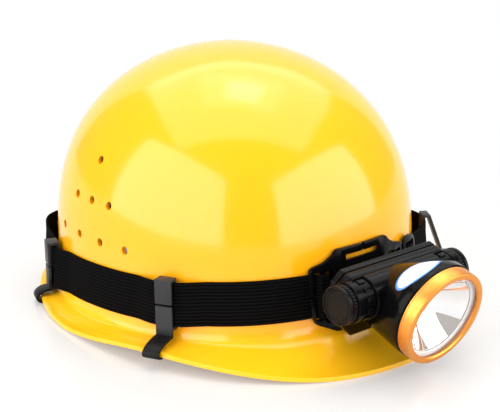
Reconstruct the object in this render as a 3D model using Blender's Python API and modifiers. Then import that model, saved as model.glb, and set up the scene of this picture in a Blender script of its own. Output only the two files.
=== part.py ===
# Hard hat with a strap-on head lamp: a miner's cap lamp, standing on its brim.
# Metres. The front of the cap looks along -Y, the wearer's left is +X, and +Z is up.

import bisect
import math

import bmesh
import bpy
from mathutils import Matrix, Vector

# Clearances
SEAT_GAP = 0.0003
RUNNING_GAP = 0.0004
STRAP_GAP = 0.0004

# Helmet shell: a superellipse plan, a crown above and a flared wall below
SHELL_HALF_WIDTH = 0.1000
SHELL_HALF_LENGTH = 0.1080
SHELL_HEIGHT = 0.1572
SHELL_WALL = 0.0024
PLAN_POWER = 2.2
CROWN_POWER = 2.41
CROWN_START = 0.0406
WALL_FLARE = 0.03
BRIM_ROOT_HEIGHT = 0.0130
BRIM_SIDE_REACH = 0.0180
BRIM_FRONT_REACH = 0.0380
BRIM_REAR_REACH = 0.0104
BRIM_REAR_POWER = 2.0
BRIM_ARCH_RISE = 0.0074
BRIM_ARCHES = ((17.0, 0.0), (69.5, 1.0), (95.5, 0.081), (146.0, 0.703), (168.0, 0.0))
CAP_PITCH = 2.0
BRIM_FILLET_POWER = 1.5
BRIM_SHARES = (0.12, 0.35, 0.68, 1.0)
BRIM_LIP = 0.0030
VENT_RADIUS = 0.0024
VENT_CENTRE_Y = 0.0092
VENT_TOP_HEIGHT = 0.1014
VENT_ROW_DROP = 0.0220
VENT_MIDDLE_PITCH = 0.0163
VENT_LOWER_PITCH = 0.0214

# Inner harness
BAND_SIDE_SPACE = 0.0200
BAND_END_SPACE = 0.0110
BAND_THICKNESS = 0.0018
BAND_HEIGHT = 0.0320
BAND_BASE = 0.0140
BAND_END_TURN = 146.0
NAPE_START_TURN = 110.0
STUD_TURN = 117.0
STUD_RADIUS = 0.0022
STUD_HEAD_RADIUS = 0.0045
STUD_HEAD_HEIGHT = 0.0014
SWEATBAND_TURN = 62.0
SWEATBAND_THICKNESS = 0.0026
SWEATBAND_HEIGHT = 0.0350
KEY_WIDTH = 0.0200
KEY_THICKNESS = 0.0018
KEY_OUTER_HEIGHT = 0.0260
KEY_INNER_HEIGHT = 0.0140
KEY_TURN = 45.0
CROWN_STRAP_WIDTH = 0.0160
CROWN_STRAP_THICKNESS = 0.0012
CROWN_CLEARANCE = 0.0320

# Elastic head strap
STRAP_WIDTH = 0.0250
STRAP_THICKNESS = 0.0012
STRAP_MIDDLE_HEIGHT = 0.0320
STRAP_PITCH = 0.04
STRAP_TAIL = 0.0150
SLOT_WIDTH = 0.0048
SLOT_SIDE_PLAY = 0.0008
SLOT_CORNER = 0.0008
WEAVE_RUN = 0.0015
SLIDER_MIDDLE_BAR = 0.0030
SLIDER_OUTER_BAR = 0.0023
SLIDER_THICKNESS = 0.0020
SLIDER_WALL = 0.0035
SLIDER_CORNER = 0.0060
SLIDER_SPACING = 0.0010

# Helmet clips
CLIP_TURNS = {"front_right": -63.0, "rear_right": -116.0, "front_left": 54.0, "rear_left": 116.0}
CLIP_WIDTH = 0.0100
CLIP_THICKNESS = 0.0016
CLIP_SLIT = 0.0012
CLIP_HOOK_RISE = 0.0048
CLIP_HOOK_BULGE = 0.0026
CLIP_TOE = 0.0050
CLIP_PLAY = 0.0003
CLIP_RAMP = 0.0180

# Mounting plate on the helmet's front
PLATE_THICKNESS = 0.0020
PLATE_BASE = 0.0146
PLATE_HALF_BASE = 0.0210
WING_REACH = 0.0355
WING_OUTER_BAR = 0.0023
WING_MIDDLE_BAR = 0.0024
WING_TOP = 0.0522
WING_FOOT = 0.0235
WING_SLIT = 0.0014
SHOULDER_REACH = 0.0235
CROWN_SLOT_HEIGHT = 0.0550
CROWN_SLOT_OPENING = 0.0032
CROWN_SLOT_HALF = 0.0128
CROWN_LUG_HALF = 0.0190
CROWN_LUG_TOP = 0.0606
PAD_THICKNESS = 0.0012
PAD_HALF_WIDTH = 0.0125
PAD_HEIGHT = 0.0240
PAD_BASE = 0.0260
PLATE_CORNER = 0.0030
NECK_CORNER = 0.0050
PLATE_FACET = 0.0045

# Tilt hinge
HINGE_HEIGHT = 0.0218
HINGE_STANDOFF = 0.0060
EAR_INNER = 0.0120
EAR_WIDTH = 0.0060
EAR_RADIUS = 0.0032
PIN_RADIUS = 0.0013
PIN_HALF_LENGTH = 0.0225
LAMP_TILT = 17.0

# Lamp case, measured from the hinge axis: rise is up, reach is forward along the beam
OPTIC_RISE = 0.0260
BEZEL_REACH = 0.0475
COVER_THICKNESS = 0.0034
COVER_BACKSET = 0.0020
FLANGE_THICKNESS = 0.0062
CASE_END_SPACE = 0.0074
CASE_TOP_SETBACK = 0.0055
CASE_TOP_RISE = 0.0372
CASE_SHOULDER_RISE = 0.0315
CASE_ELBOW_RISE = 0.0120
CASE_FOOT_SETBACK = 0.0155
CASE_FOOT_DROP = 0.0030
CASE_CORNER = 0.0010
SCREW_TOP_SIDE = 0.0045
SCREW_TOP_INSET = 0.0030
SCREW_LOW_SIDE = 0.0120
SCREW_LOW_RISE = 0.0090
SCREW_RADIUS = 0.0010
SCREW_HEAD_RADIUS = 0.0019
SCREW_HEAD_HEIGHT = 0.0014
SCREW_LENGTH = 0.0052

# Battery barrel across the case
BARREL_RISE = 0.0250
BARREL_SETBACK = 0.0365
BARREL_RADIUS = 0.0110
BARREL_COLLAR_RADIUS = 0.0123
BARREL_RING_RADIUS = 0.0116
BARREL_COLLAR_SETBACK = 0.0130
BARREL_RING_LENGTH = 0.0045
BORE_RADIUS = 0.0096
CELL_RADIUS = 0.0092
CELL_LENGTH = 0.0652
CELL_BUTTON_RADIUS = 0.0030
CELL_BUTTON_HEIGHT = 0.0012
TERMINAL_RADIUS = 0.0060
TERMINAL_THICKNESS = 0.0006
PLUG_LENGTH = 0.0024
DISC_RADIUS = 0.0108
DISC_LENGTH = 0.0056
DISC_RIM = 0.0012
DISC_DISH = 0.0008
DISC_GROOVES = 12
DISC_GROOVE_RADIUS = 0.0006
SHAFT_RADIUS = 0.0030
SHAFT_LENGTH = 0.0050
SPRING_WIRE = 0.0003
SPRING_TURNS = 3
SPRING_RADIUS = 0.0050
SPRING_TIP_RADIUS = 0.0030

# Lamp head: an oblique cone from the case to the bezel
HEAD_ROOT_RADIUS = 0.0198
HEAD_ROOT_DROP = 0.0090
HEAD_RADIUS = 0.0283
HEAD_CYLINDER = 0.0050
BEZEL_RADIUS = 0.0277
BEZEL_DEPTH = 0.0078
BEZEL_LIP = 0.0014
BEZEL_OPENING = 0.0238
BEZEL_WALL = 0.0018
BEZEL_CHAMFER = 0.0007
LENS_THICKNESS = 0.0018
GASKET_THICKNESS = 0.0008
GASKET_WIDTH = 0.0030
FLANGE_RIM = 0.0009
COLLAR_WALL = 0.0016
REFLECTOR_MOUTH = 0.0218
REFLECTOR_THROAT = 0.0036
REFLECTOR_DEPTH = 0.0157
REFLECTOR_WALL = 0.0010
LED_RADIUS = 0.0025
LED_HEIGHT = 0.0022
LED_BOARD_RADIUS = 0.0080
LED_BOARD_THICKNESS = 0.0014
HEAT_SINK_RADIUS = 0.0100
HEAT_SINK_THICKNESS = 0.0016
BOARD_HALF_WIDTH = 0.0150
BOARD_HEIGHT = 0.0080
BOARD_THICKNESS = 0.0016
BOARD_POCKET_DEPTH = 0.0036
BOARD_RISE = 0.0055

# Facets
SHELL_SEGMENTS = 48
CROWN_ROWS = 9
BAND_SEGMENTS = 64
ROUND_SEGMENTS = 32
SMALL_SEGMENTS = 16
CORNER_STEPS = 3
BOWL_ROWS = 5
COIL_STEPS = 10
CLIP_HOOK_STEPS = 12
WELD = 0.00001
ARC_SAMPLES = 1440
SEARCH_REACH = 0.05
SMOOTH_ANGLE = math.radians(35)

# What follows from the sizes above
BRIM_HALF_WIDTH = SHELL_HALF_WIDTH + BRIM_SIDE_REACH
VISOR_REACH = SHELL_HALF_LENGTH + BRIM_FRONT_REACH
REAR_REACH = SHELL_HALF_LENGTH + BRIM_REAR_REACH
BAND_HALF_WIDTH = SHELL_HALF_WIDTH - BAND_SIDE_SPACE
BAND_HALF_LENGTH = SHELL_HALF_LENGTH - BAND_END_SPACE
HOLD_OFFSET = STRAP_GAP + STRAP_THICKNESS + SEAT_GAP
STRAP_LOW = STRAP_GAP + STRAP_THICKNESS / 2
PLATE_FRONT = HOLD_OFFSET + PLATE_THICKNESS
PLATE_MIDDLE = HOLD_OFFSET + PLATE_THICKNESS / 2
PLATE_HIGH = PLATE_FRONT + SEAT_GAP + STRAP_THICKNESS / 2
WING_SLOT_OUT = WING_REACH - WING_OUTER_BAR - SLOT_WIDTH / 2
WING_SLOT_IN = WING_SLOT_OUT - SLOT_WIDTH - WING_MIDDLE_BAR
SLIDER_HALF = SLIDER_MIDDLE_BAR / 2 + SLOT_WIDTH + SLIDER_OUTER_BAR
SLIDER_SLOT = (SLIDER_MIDDLE_BAR + SLOT_WIDTH) / 2
SLIDER_ARC = WING_REACH + SLIDER_SPACING + SLIDER_HALF
CLIP_SAG = CLIP_WIDTH ** 2 / (8 * SHELL_HALF_WIDTH)
TILT = math.radians(LAMP_TILT)
PITCH = math.radians(CAP_PITCH)
PARTING = -COVER_BACKSET + COVER_THICKNESS
FLANGE_BACK = PARTING + SEAT_GAP
FLANGE_FRONT = FLANGE_BACK + FLANGE_THICKNESS
CASE_HALF_WIDTH = CELL_LENGTH / 2 + CASE_END_SPACE
CASE_TOP_HALF = CASE_HALF_WIDTH - CASE_TOP_SETBACK
CASE_FOOT_HALF = CASE_HALF_WIDTH - CASE_FOOT_SETBACK
SCREW_TOP_X = CASE_TOP_HALF - SCREW_TOP_SIDE
SCREW_LOW_X = CASE_HALF_WIDTH - SCREW_LOW_SIDE
BARREL_RING_START = CASE_HALF_WIDTH - BARREL_RING_LENGTH
BARREL_COLLAR_START = CASE_HALF_WIDTH - BARREL_COLLAR_SETBACK
BARREL_REACH = BEZEL_REACH - BARREL_SETBACK
DISC_START = CASE_HALF_WIDTH + SEAT_GAP


def clear_scene():
    for item in list(bpy.data.objects):
        bpy.data.objects.remove(item, do_unlink=True)


def new_collection(name):
    collection = bpy.data.collections.new(name)
    bpy.context.scene.collection.children.link(collection)
    return collection


clear_scene()
parts = new_collection("miner_cap_lamp")
cutters = new_collection("cutters")


def finish(name, colour, roughness, metallic=0.0):
    material = bpy.data.materials.new(name)
    material.use_nodes = True
    shader = material.node_tree.nodes["Principled BSDF"]
    shader.inputs["Base Color"].default_value = (*colour, 1.0)
    shader.inputs["Roughness"].default_value = roughness
    shader.inputs["Metallic"].default_value = metallic
    material.diffuse_color = (*colour, 1.0)
    return material


def frame_empty(name, parent, location, rotation=(0, 0, 0)):
    item = bpy.data.objects.new(name, None)
    item.parent = parent
    item.location = location
    item.rotation_euler = rotation
    parts.objects.link(item)
    return item


def place(name, mesh, parent, material=None, location=(0, 0, 0), rotation=(0, 0, 0)):
    # A piece with a material is a part, and one without is a cutter
    item = bpy.data.objects.new(name, mesh)
    item.parent = parent
    item.location = location
    item.rotation_euler = rotation
    if material:
        mesh.materials.append(material)
        mesh.shade_smooth()
        mesh.set_sharp_from_angle(angle=SMOOTH_ANGLE)
        parts.objects.link(item)
    else:
        item.hide_render = True
        item.display_type = 'WIRE'
        cutters.objects.link(item)
    return item


def mesh_from(name, bm):
    mesh = bpy.data.meshes.new(name)
    bm.to_mesh(mesh)
    bm.free()
    return mesh


def boolean(item, other, operation='DIFFERENCE'):
    modifier = item.modifiers.new(other.name, 'BOOLEAN')
    modifier.object = other
    modifier.operation = operation
    modifier.solver = 'EXACT'


def thicken(item, thickness, offset=0.0):
    modifier = item.modifiers.new("thickness", 'SOLIDIFY')
    modifier.thickness = thickness
    modifier.offset = offset
    modifier.use_even_offset = True
    modifier.use_quality_normals = True


def skin(name, rows, closed=False, apex=None, capped=False):
    # Loft from the first row down to the last, with an apex point or flat caps at the ends
    bm = bmesh.new()
    grid = [[bm.verts.new(point) for point in row] for row in rows]
    count = len(rows[0])
    steps = count if closed else count - 1
    if apex:
        top = bm.verts.new(apex)
        for i in range(steps):
            bm.faces.new((top, grid[0][i], grid[0][(i + 1) % count]))
    for upper, lower in zip(grid, grid[1:]):
        for i in range(steps):
            j = (i + 1) % count
            bm.faces.new((upper[i], lower[i], lower[j], upper[j]))
    if capped:
        bm.faces.new(grid[0])
        bm.faces.new(grid[-1])
        bmesh.ops.recalc_face_normals(bm, faces=bm.faces)
    return mesh_from(name, bm)


def extruded(name, outlines, depth):
    # Flat outline, with any further outlines as holes, centred on its own plane
    curve = bpy.data.curves.new(name, 'CURVE')
    curve.dimensions = '2D'
    curve.fill_mode = 'BOTH'
    curve.extrude = depth / 2
    for outline in outlines:
        spline = curve.splines.new('POLY')
        spline.points.add(len(outline) - 1)
        spline.use_cyclic_u = True
        for point, place_at in zip(spline.points, outline):
            point.co = (place_at[0], place_at[1], 0, 1)
    carrier = bpy.data.objects.new(name, curve)
    cutters.objects.link(carrier)
    depsgraph = bpy.context.evaluated_depsgraph_get()
    mesh = bpy.data.meshes.new_from_object(carrier.evaluated_get(depsgraph))
    bpy.data.objects.remove(carrier)
    bm = bmesh.new()
    bm.from_mesh(mesh)
    bmesh.ops.remove_doubles(bm, verts=bm.verts, dist=WELD)
    bmesh.ops.recalc_face_normals(bm, faces=bm.faces)
    bm.to_mesh(mesh)
    bm.free()
    return mesh


def turned(name, profile, parent, material=None, location=(0, 0, 0), rotation=(0, 0, 0),
           segments=ROUND_SEGMENTS, ring=False):
    # Profile of (radius, height), from the top down its outer side, turned about its own Z axis
    bm = bmesh.new()
    points = [bm.verts.new((radius, 0, height)) for radius, height in profile]
    for first, second in zip(points, points[1:]):
        bm.edges.new((first, second))
    if ring:
        bm.edges.new((points[-1], points[0]))
    item = place(name, mesh_from(name, bm), parent, material, location, rotation)
    screw = item.modifiers.new("turn", 'SCREW')
    screw.axis = 'Z'
    screw.steps = segments
    screw.render_steps = segments
    screw.use_merge_vertices = True
    screw.merge_threshold = WELD
    screw.use_smooth_shade = True
    return item


def spun(name, profile, segments=SMALL_SEGMENTS):
    # Solid of revolution about Z as a plain mesh, from (radius, height) points
    bm = bmesh.new()
    points = [bm.verts.new((radius, 0, height)) for radius, height in profile]
    edges = [bm.edges.new(pair) for pair in zip(points, points[1:])]
    bmesh.ops.spin(bm, geom=points + edges, cent=(0, 0, 0), axis=(0, 0, 1), angle=2 * math.pi,
                   steps=segments, use_merge=True)
    bmesh.ops.remove_doubles(bm, verts=bm.verts, dist=WELD)
    bmesh.ops.recalc_face_normals(bm, faces=bm.faces)
    return mesh_from(name, bm)


def repeated(name, mesh, frames):
    # Separate copies of one solid in a single mesh
    bm = bmesh.new()
    for frame in frames:
        copy = mesh.copy()
        copy.transform(frame)
        bm.from_mesh(copy)
        bpy.data.meshes.remove(copy)
    return mesh_from(name, bm)


def cylinders(name, radius, length, centres, axis, parent, material=None, segments=SMALL_SEGMENTS):
    # Equal cylinders along one axis, as one mesh of separate solids
    turn = {'X': Matrix.Rotation(math.pi / 2, 4, 'Y'), 'Y': Matrix.Rotation(math.pi / 2, 4, 'X'),
            'Z': Matrix.Identity(4)}[axis]
    bm = bmesh.new()
    for centre in centres:
        bmesh.ops.create_cone(bm, cap_ends=True, segments=segments, radius1=radius, radius2=radius,
                              depth=length, matrix=Matrix.Translation(centre) @ turn)
    return place(name, mesh_from(name, bm), parent, material)


def boxes(name, spans, parent, material=None, location=(0, 0, 0), rotation=(0, 0, 0)):
    # Boxes given by their lowest and highest corners, as one mesh
    bm = bmesh.new()
    for low, high in spans:
        low = Vector(low)
        high = Vector(high)
        size = high - low
        matrix = Matrix.Translation((low + high) / 2) @ Matrix.Diagonal((*size, 1.0))
        bmesh.ops.create_cube(bm, size=1.0, matrix=matrix)
    return place(name, mesh_from(name, bm), parent, material, location, rotation)


def arc(centre, radius, start, end, steps):
    points = []
    for step in range(steps + 1):
        angle = math.radians(start + (end - start) * step / steps)
        points.append((centre[0] + radius * math.cos(angle), centre[1] + radius * math.sin(angle)))
    return points


def rounded(corners):
    # Outline through (x, y, radius) corners, each rounded by an arc that its sides have room for
    outline = []
    for i, (x, y, radius) in enumerate(corners):
        corner = Vector((x, y))
        back = Vector(corners[i - 1][:2]) - corner
        ahead = Vector(corners[(i + 1) % len(corners)][:2]) - corner
        half = back.angle(ahead) / 2
        run = min(radius / math.tan(half), back.length / 2, ahead.length / 2)
        back.normalize()
        ahead.normalize()
        if run < WELD:
            outline.append((x, y))
            continue
        fitted = run * math.tan(half)
        centre = corner + (back + ahead).normalized() * (fitted / math.sin(half))
        spoke = corner + back * run - centre
        last = corner + ahead * run - centre
        sweep = math.atan2(spoke.x * last.y - spoke.y * last.x, spoke.dot(last))
        for step in range(CORNER_STEPS + 1):
            turn = Matrix.Rotation(sweep * step / CORNER_STEPS, 2)
            outline.append(tuple(centre + turn @ spoke))
    return outline


def slot_outline(x, y, width, height, radius=SLOT_CORNER):
    # Rounded rectangle about (x, y)
    return rounded([(x - width / 2, y - height / 2, radius), (x + width / 2, y - height / 2, radius),
                    (x + width / 2, y + height / 2, radius), (x - width / 2, y + height / 2, radius)])


def strip(path, thickness):
    # Outline of a bent strip along its middle line, with mitred bends
    left = []
    right = []
    for i, point in enumerate(path):
        here = Vector(point)
        back = here - Vector(path[i - 1]) if i else Vector(path[1]) - here
        ahead = Vector(path[i + 1]) - here if i + 1 < len(path) else back
        back.normalize()
        ahead.normalize()
        side = Vector((-(back + ahead).y, (back + ahead).x)).normalized()
        reach = thickness / 2 / side.dot(Vector((-back.y, back.x)))
        left.append(tuple(here + side * reach))
        right.append(tuple(here - side * reach))
    return left + right[::-1]


def signed_power(value, power):
    return math.copysign(abs(value) ** power, value)


def plan_point(turn, half_width, front, rear, rear_power=PLAN_POWER):
    # Superellipse plan: turn runs from the front towards the wearer's left
    ahead = math.cos(turn)
    length, power = (front, PLAN_POWER) if ahead > 0 else (rear, rear_power)
    x = half_width * signed_power(math.sin(turn), 2 / power)
    y = -length * signed_power(ahead, 2 / power)
    return Vector((x, y, 0))


def plan_field(point, half_width, front, rear, rear_power=PLAN_POWER):
    # Below zero inside the superellipse
    length, power = (front, PLAN_POWER) if point.y < 0 else (rear, rear_power)
    return abs(point.x / half_width) ** power + abs(point.y / length) ** power - 1


def wall_scale(height):
    if height < CROWN_START:
        return 1 + WALL_FLARE * (CROWN_START - height) / CROWN_START
    share = (height - CROWN_START) / (SHELL_HEIGHT - CROWN_START)
    return math.sqrt(max(0.0, 1 - share ** CROWN_POWER))


def wall_normal(turn):
    point = plan_point(turn, 1.0, 1.0, 1.0)
    slope = PLAN_POWER - 1
    x = signed_power(point.x, slope) / SHELL_HALF_WIDTH
    y = signed_power(point.y, slope) / SHELL_HALF_LENGTH
    return Vector((x, y, 0)).normalized()


def wall_point(turn, height, offset=0.0):
    # Point off the outer face of the shell's wall
    scale = wall_scale(height)
    length = SHELL_HALF_LENGTH * scale
    point = plan_point(turn, SHELL_HALF_WIDTH * scale, length, length)
    return point + wall_normal(turn) * offset + Vector((0, 0, height))


def floor_height(y):
    # The floor under the brim, which the pitched cap sees as a slope
    return math.tan(PITCH) * (y + VISOR_REACH)


def brim_lift(turn):
    # How far the brim's edge arches off the floor between the places where it rests
    degrees = abs(math.degrees(math.atan2(math.sin(turn), math.cos(turn))))
    for (start, low), (end, high) in zip(BRIM_ARCHES, BRIM_ARCHES[1:]):
        if start < degrees < end:
            share = (degrees - start) / (end - start)
            return BRIM_ARCH_RISE * (low + (high - low) * share * share * (3 - 2 * share))
    return 0.0


def brim_edge(turn):
    edge = plan_point(turn, BRIM_HALF_WIDTH, VISOR_REACH, REAR_REACH, BRIM_REAR_POWER)
    edge.z = floor_height(edge.y) + brim_lift(turn) + SHELL_WALL
    return edge


def brim_turn(point):
    # Turn at which the brim's edge passes through a point
    length, power = (VISOR_REACH, PLAN_POWER) if point.y < 0 else (REAR_REACH, BRIM_REAR_POWER)
    return math.atan2(signed_power(point.x / BRIM_HALF_WIDTH, power / 2),
                      signed_power(-point.y / length, power / 2))


def reach(start, direction, field):
    # Distance along a direction to where a field changes sign
    low = 0.0
    high = SEARCH_REACH
    inside = field(start) < 0
    for _ in range(40):
        middle = (low + high) / 2
        if (field(start + direction * middle) < 0) == inside:
            low = middle
        else:
            high = middle
    return low


def measure_arc():
    # Distance round the wall from the front centre, at the strap's height
    turns = [2 * math.pi * step / ARC_SAMPLES for step in range(ARC_SAMPLES + 1)]
    lengths = [0.0]
    for first, second in zip(turns, turns[1:]):
        step = wall_point(second, STRAP_MIDDLE_HEIGHT) - wall_point(first, STRAP_MIDDLE_HEIGHT)
        lengths.append(lengths[-1] + step.length)
    return turns, lengths


ARC_TURNS, ARC_LENGTHS = measure_arc()
GIRTH = ARC_LENGTHS[-1]


def turn_at(distance):
    distance %= GIRTH
    i = min(max(bisect.bisect_right(ARC_LENGTHS, distance) - 1, 0), ARC_SAMPLES - 1)
    share = (distance - ARC_LENGTHS[i]) / (ARC_LENGTHS[i + 1] - ARC_LENGTHS[i])
    return ARC_TURNS[i] + (ARC_TURNS[i + 1] - ARC_TURNS[i]) * share


def distance_at(turn):
    share = (turn / (2 * math.pi)) % 1.0 * ARC_SAMPLES
    i = min(int(share), ARC_SAMPLES - 1)
    return ARC_LENGTHS[i] + (ARC_LENGTHS[i + 1] - ARC_LENGTHS[i]) * (share - i)


def strap_height(turn):
    # The strap's middle line rises a little towards the front
    return STRAP_MIDDLE_HEIGHT - STRAP_PITCH * wall_point(turn, STRAP_MIDDLE_HEIGHT).y


def radial_rotation(turn):
    # Local X points out of the wall, local Y up, and local Z along the wall
    out = wall_normal(turn)
    up = Vector((0, 0, 1))
    return Matrix((out, up, out.cross(up))).transposed().to_euler()


def facing_rotation(turn, lean):
    # Local X runs along the wall, local Y up it with an inward lean, and local Z points out
    out = wall_normal(turn)
    up = Vector((0, 0, 1))
    upright = Matrix((up.cross(out), up, out)).transposed()
    return (upright @ Matrix.Rotation(-lean, 3, 'X')).to_euler()


yellow = finish("yellow_shell", (0.95, 0.62, 0.03), 0.18)
black_plastic = finish("black_plastic", (0.015, 0.015, 0.017), 0.42)
grey_plastic = finish("grey_plastic", (0.06, 0.06, 0.062), 0.40)
harness_plastic = finish("harness_plastic", (0.70, 0.70, 0.68), 0.50)
webbing = finish("webbing", (0.012, 0.012, 0.013), 0.90)
foam = finish("foam", (0.03, 0.03, 0.032), 0.95)
steel = finish("steel", (0.60, 0.60, 0.62), 0.30, 1.0)
brass = finish("brass", (0.80, 0.60, 0.25), 0.30, 1.0)
gold = finish("gold_bezel", (0.90, 0.45, 0.10), 0.25, 1.0)
chrome = finish("chrome", (0.90, 0.90, 0.92), 0.05, 1.0)
clear = finish("clear_lens", (0.95, 0.97, 0.98), 0.03)
white_rubber = finish("white_rubber", (0.85, 0.85, 0.84), 0.60)
aluminium = finish("aluminium", (0.75, 0.76, 0.78), 0.35, 1.0)
board_green = finish("board_green", (0.03, 0.22, 0.08), 0.45)
board_white = finish("board_white", (0.85, 0.86, 0.84), 0.45)
phosphor = finish("phosphor", (0.90, 0.75, 0.12), 0.35)
cell_wrap = finish("cell_wrap", (0.10, 0.25, 0.55), 0.35)


# The model's middle: the beam end of the bezel in front and the rear brim behind, with the cap
# pitched so that its brim rests level
HINGE_Y = wall_point(0.0, HINGE_HEIGHT, PLATE_FRONT + HINGE_STANDOFF).y
RIM_RISE = OPTIC_RISE + BEZEL_RADIUS
LEVEL = Matrix.Rotation(-PITCH, 3, 'X')
FRONT_END = (LEVEL @ Vector((0, HINGE_Y, HINGE_HEIGHT))).y
FRONT_END -= BEZEL_REACH * math.cos(TILT - PITCH) + RIM_RISE * math.sin(TILT - PITCH)
REAR_END = (LEVEL @ brim_edge(math.pi)).y
cap = frame_empty("cap", None, (0, -(FRONT_END + REAR_END) / 2, -VISOR_REACH * math.sin(PITCH)),
                  (-PITCH, 0, 0))
lamp = frame_empty("lamp", cap, (0, HINGE_Y, HINGE_HEIGHT), (TILT, 0, 0))
BEAM = (math.pi / 2, 0, 0)
ACROSS = (0, math.pi / 2, 0)
optic = frame_empty("optic", lamp, (0, -BEZEL_REACH, OPTIC_RISE), BEAM)
barrel = frame_empty("barrel", lamp, (0, -BARREL_REACH, BARREL_RISE))


# Helmet shell and its vents

def shell_rows():
    turns = [2 * math.pi * step / SHELL_SEGMENTS for step in range(SHELL_SEGMENTS)]
    rows = []
    for step in range(1, CROWN_ROWS + 1):
        angle = math.pi / 2 * step / CROWN_ROWS
        rise = max(0.0, math.cos(angle)) ** (2 / CROWN_POWER)
        height = CROWN_START + (SHELL_HEIGHT - CROWN_START) * rise
        rows.append([wall_point(turn, height) for turn in turns])
    for share in (0.5, 1.0):
        height = CROWN_START + (BRIM_ROOT_HEIGHT - CROWN_START) * share
        rows.append([wall_point(turn, height) for turn in turns])
    root = rows[-1]
    edge = [brim_edge(turn) for turn in turns]
    for share in BRIM_SHARES:
        rows.append([brim_point(start, end, share) for start, end in zip(root, edge)])
    rows.append(edge)
    return rows


def brim_point(start, end, share):
    run = Vector((end.x - start.x, end.y - start.y, 0))
    run -= run.normalized() * BRIM_LIP
    point = Vector((start.x + run.x * share, start.y + run.y * share, 0))
    low = end.z - floor_height(end.y)
    high = start.z - floor_height(start.y)
    point.z = floor_height(point.y) + low + (high - low) * (1 - share) ** BRIM_FILLET_POWER
    return point


def vent_centres():
    centres = []
    for row, (count, pitch) in enumerate(((1, 0.0), (3, VENT_MIDDLE_PITCH), (4, VENT_LOWER_PITCH))):
        for index in range(count):
            y = VENT_CENTRE_Y + pitch * (index - (count - 1) / 2)
            centres.append((0, y, VENT_TOP_HEIGHT - VENT_ROW_DROP * row))
    return centres


apex = Vector((0, 0, SHELL_HEIGHT))
shell_skin = skin("helmet_shell", shell_rows(), closed=True, apex=apex)
shell = place("helmet_shell", shell_skin, cap, yellow)
thicken(shell, SHELL_WALL, offset=-1.0)
vents = cylinders("vent_cutter", VENT_RADIUS, 3 * SHELL_HALF_WIDTH, vent_centres(), 'X', cap, segments=12)
boolean(shell, vents)


# Inner harness: headband, nape band, sweatband, crown straps and the keys that hang them

def oval_row(inset, height, start, end):
    # Stretch of the headband's plan, moved in by an inset, between two turns in degrees
    count = max(4, round(BAND_SEGMENTS * (end - start) / 360))
    row = []
    for step in range(count + 1):
        turn = math.radians(start + (end - start) * step / count)
        half_width = BAND_HALF_WIDTH - inset
        half_length = BAND_HALF_LENGTH - inset
        row.append(Vector((half_width * math.sin(turn), -half_length * math.cos(turn), height)))
    return row


def oval_band(name, inset, base, height, start, end, thickness, material):
    rows = [oval_row(inset, base + height, start, end), oval_row(inset, base, start, end)]
    band = place(name, skin(name, rows), cap, material)
    thicken(band, thickness)
    return band


headband = oval_band("headband", 0.0, BAND_BASE, BAND_HEIGHT, -BAND_END_TURN, BAND_END_TURN,
                     BAND_THICKNESS, harness_plastic)
NAPE_INSET = -(BAND_THICKNESS + SEAT_GAP)
nape = oval_band("nape_band", NAPE_INSET, BAND_BASE, BAND_HEIGHT, NAPE_START_TURN,
                 360 - NAPE_START_TURN, BAND_THICKNESS, harness_plastic)
SWEATBAND_INSET = BAND_THICKNESS / 2 + SEAT_GAP + SWEATBAND_THICKNESS / 2
SWEATBAND_BASE = BAND_BASE + (BAND_HEIGHT - SWEATBAND_HEIGHT) / 2
oval_band("sweatband", SWEATBAND_INSET, SWEATBAND_BASE, SWEATBAND_HEIGHT,
          -SWEATBAND_TURN, SWEATBAND_TURN, SWEATBAND_THICKNESS, foam)


def stud_frames():
    # Place and outward direction of the two studs that lock the headband's size
    frames = []
    for turn in (math.radians(STUD_TURN), -math.radians(STUD_TURN)):
        point = Vector((BAND_HALF_WIDTH * math.sin(turn), -BAND_HALF_LENGTH * math.cos(turn), 0))
        out = Vector((point.x / BAND_HALF_WIDTH ** 2, point.y / BAND_HALF_LENGTH ** 2, 0)).normalized()
        point.z = BAND_BASE + BAND_HEIGHT / 2
        frames.append(Matrix.Translation(point) @ out.to_track_quat('Z', 'Y').to_matrix().to_4x4())
    return frames


STUD_IN = -BAND_THICKNESS / 2 - SEAT_GAP
STUD_OUT = -NAPE_INSET + BAND_THICKNESS / 2 + SEAT_GAP
STUD_END = STUD_OUT + STUD_HEAD_HEIGHT
STUD_START = STUD_IN - STUD_HEAD_HEIGHT
for stud_name, stud_frame in zip(("size_stud_left", "size_stud_right"), stud_frames()):
    stud = spun(stud_name, [(0, STUD_END), (STUD_HEAD_RADIUS, STUD_END), (STUD_HEAD_RADIUS, STUD_OUT),
                            (STUD_RADIUS, STUD_OUT), (STUD_RADIUS, STUD_IN), (STUD_HEAD_RADIUS, STUD_IN),
                            (STUD_HEAD_RADIUS, STUD_START), (0, STUD_START)])
    place(stud_name, stud, cap, harness_plastic, stud_frame.to_translation(), stud_frame.to_euler())
HOLE_RADIUS = STUD_RADIUS + SEAT_GAP
stud_hole = spun("stud_hole", [(0, STUD_END), (HOLE_RADIUS, STUD_END),
                               (HOLE_RADIUS, STUD_START), (0, STUD_START)])
stud_holes = place("stud_hole_cutter", repeated("stud_hole_cutter", stud_hole, stud_frames()), cap)
boolean(headband, stud_holes)
boolean(nape, stud_holes)


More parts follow.
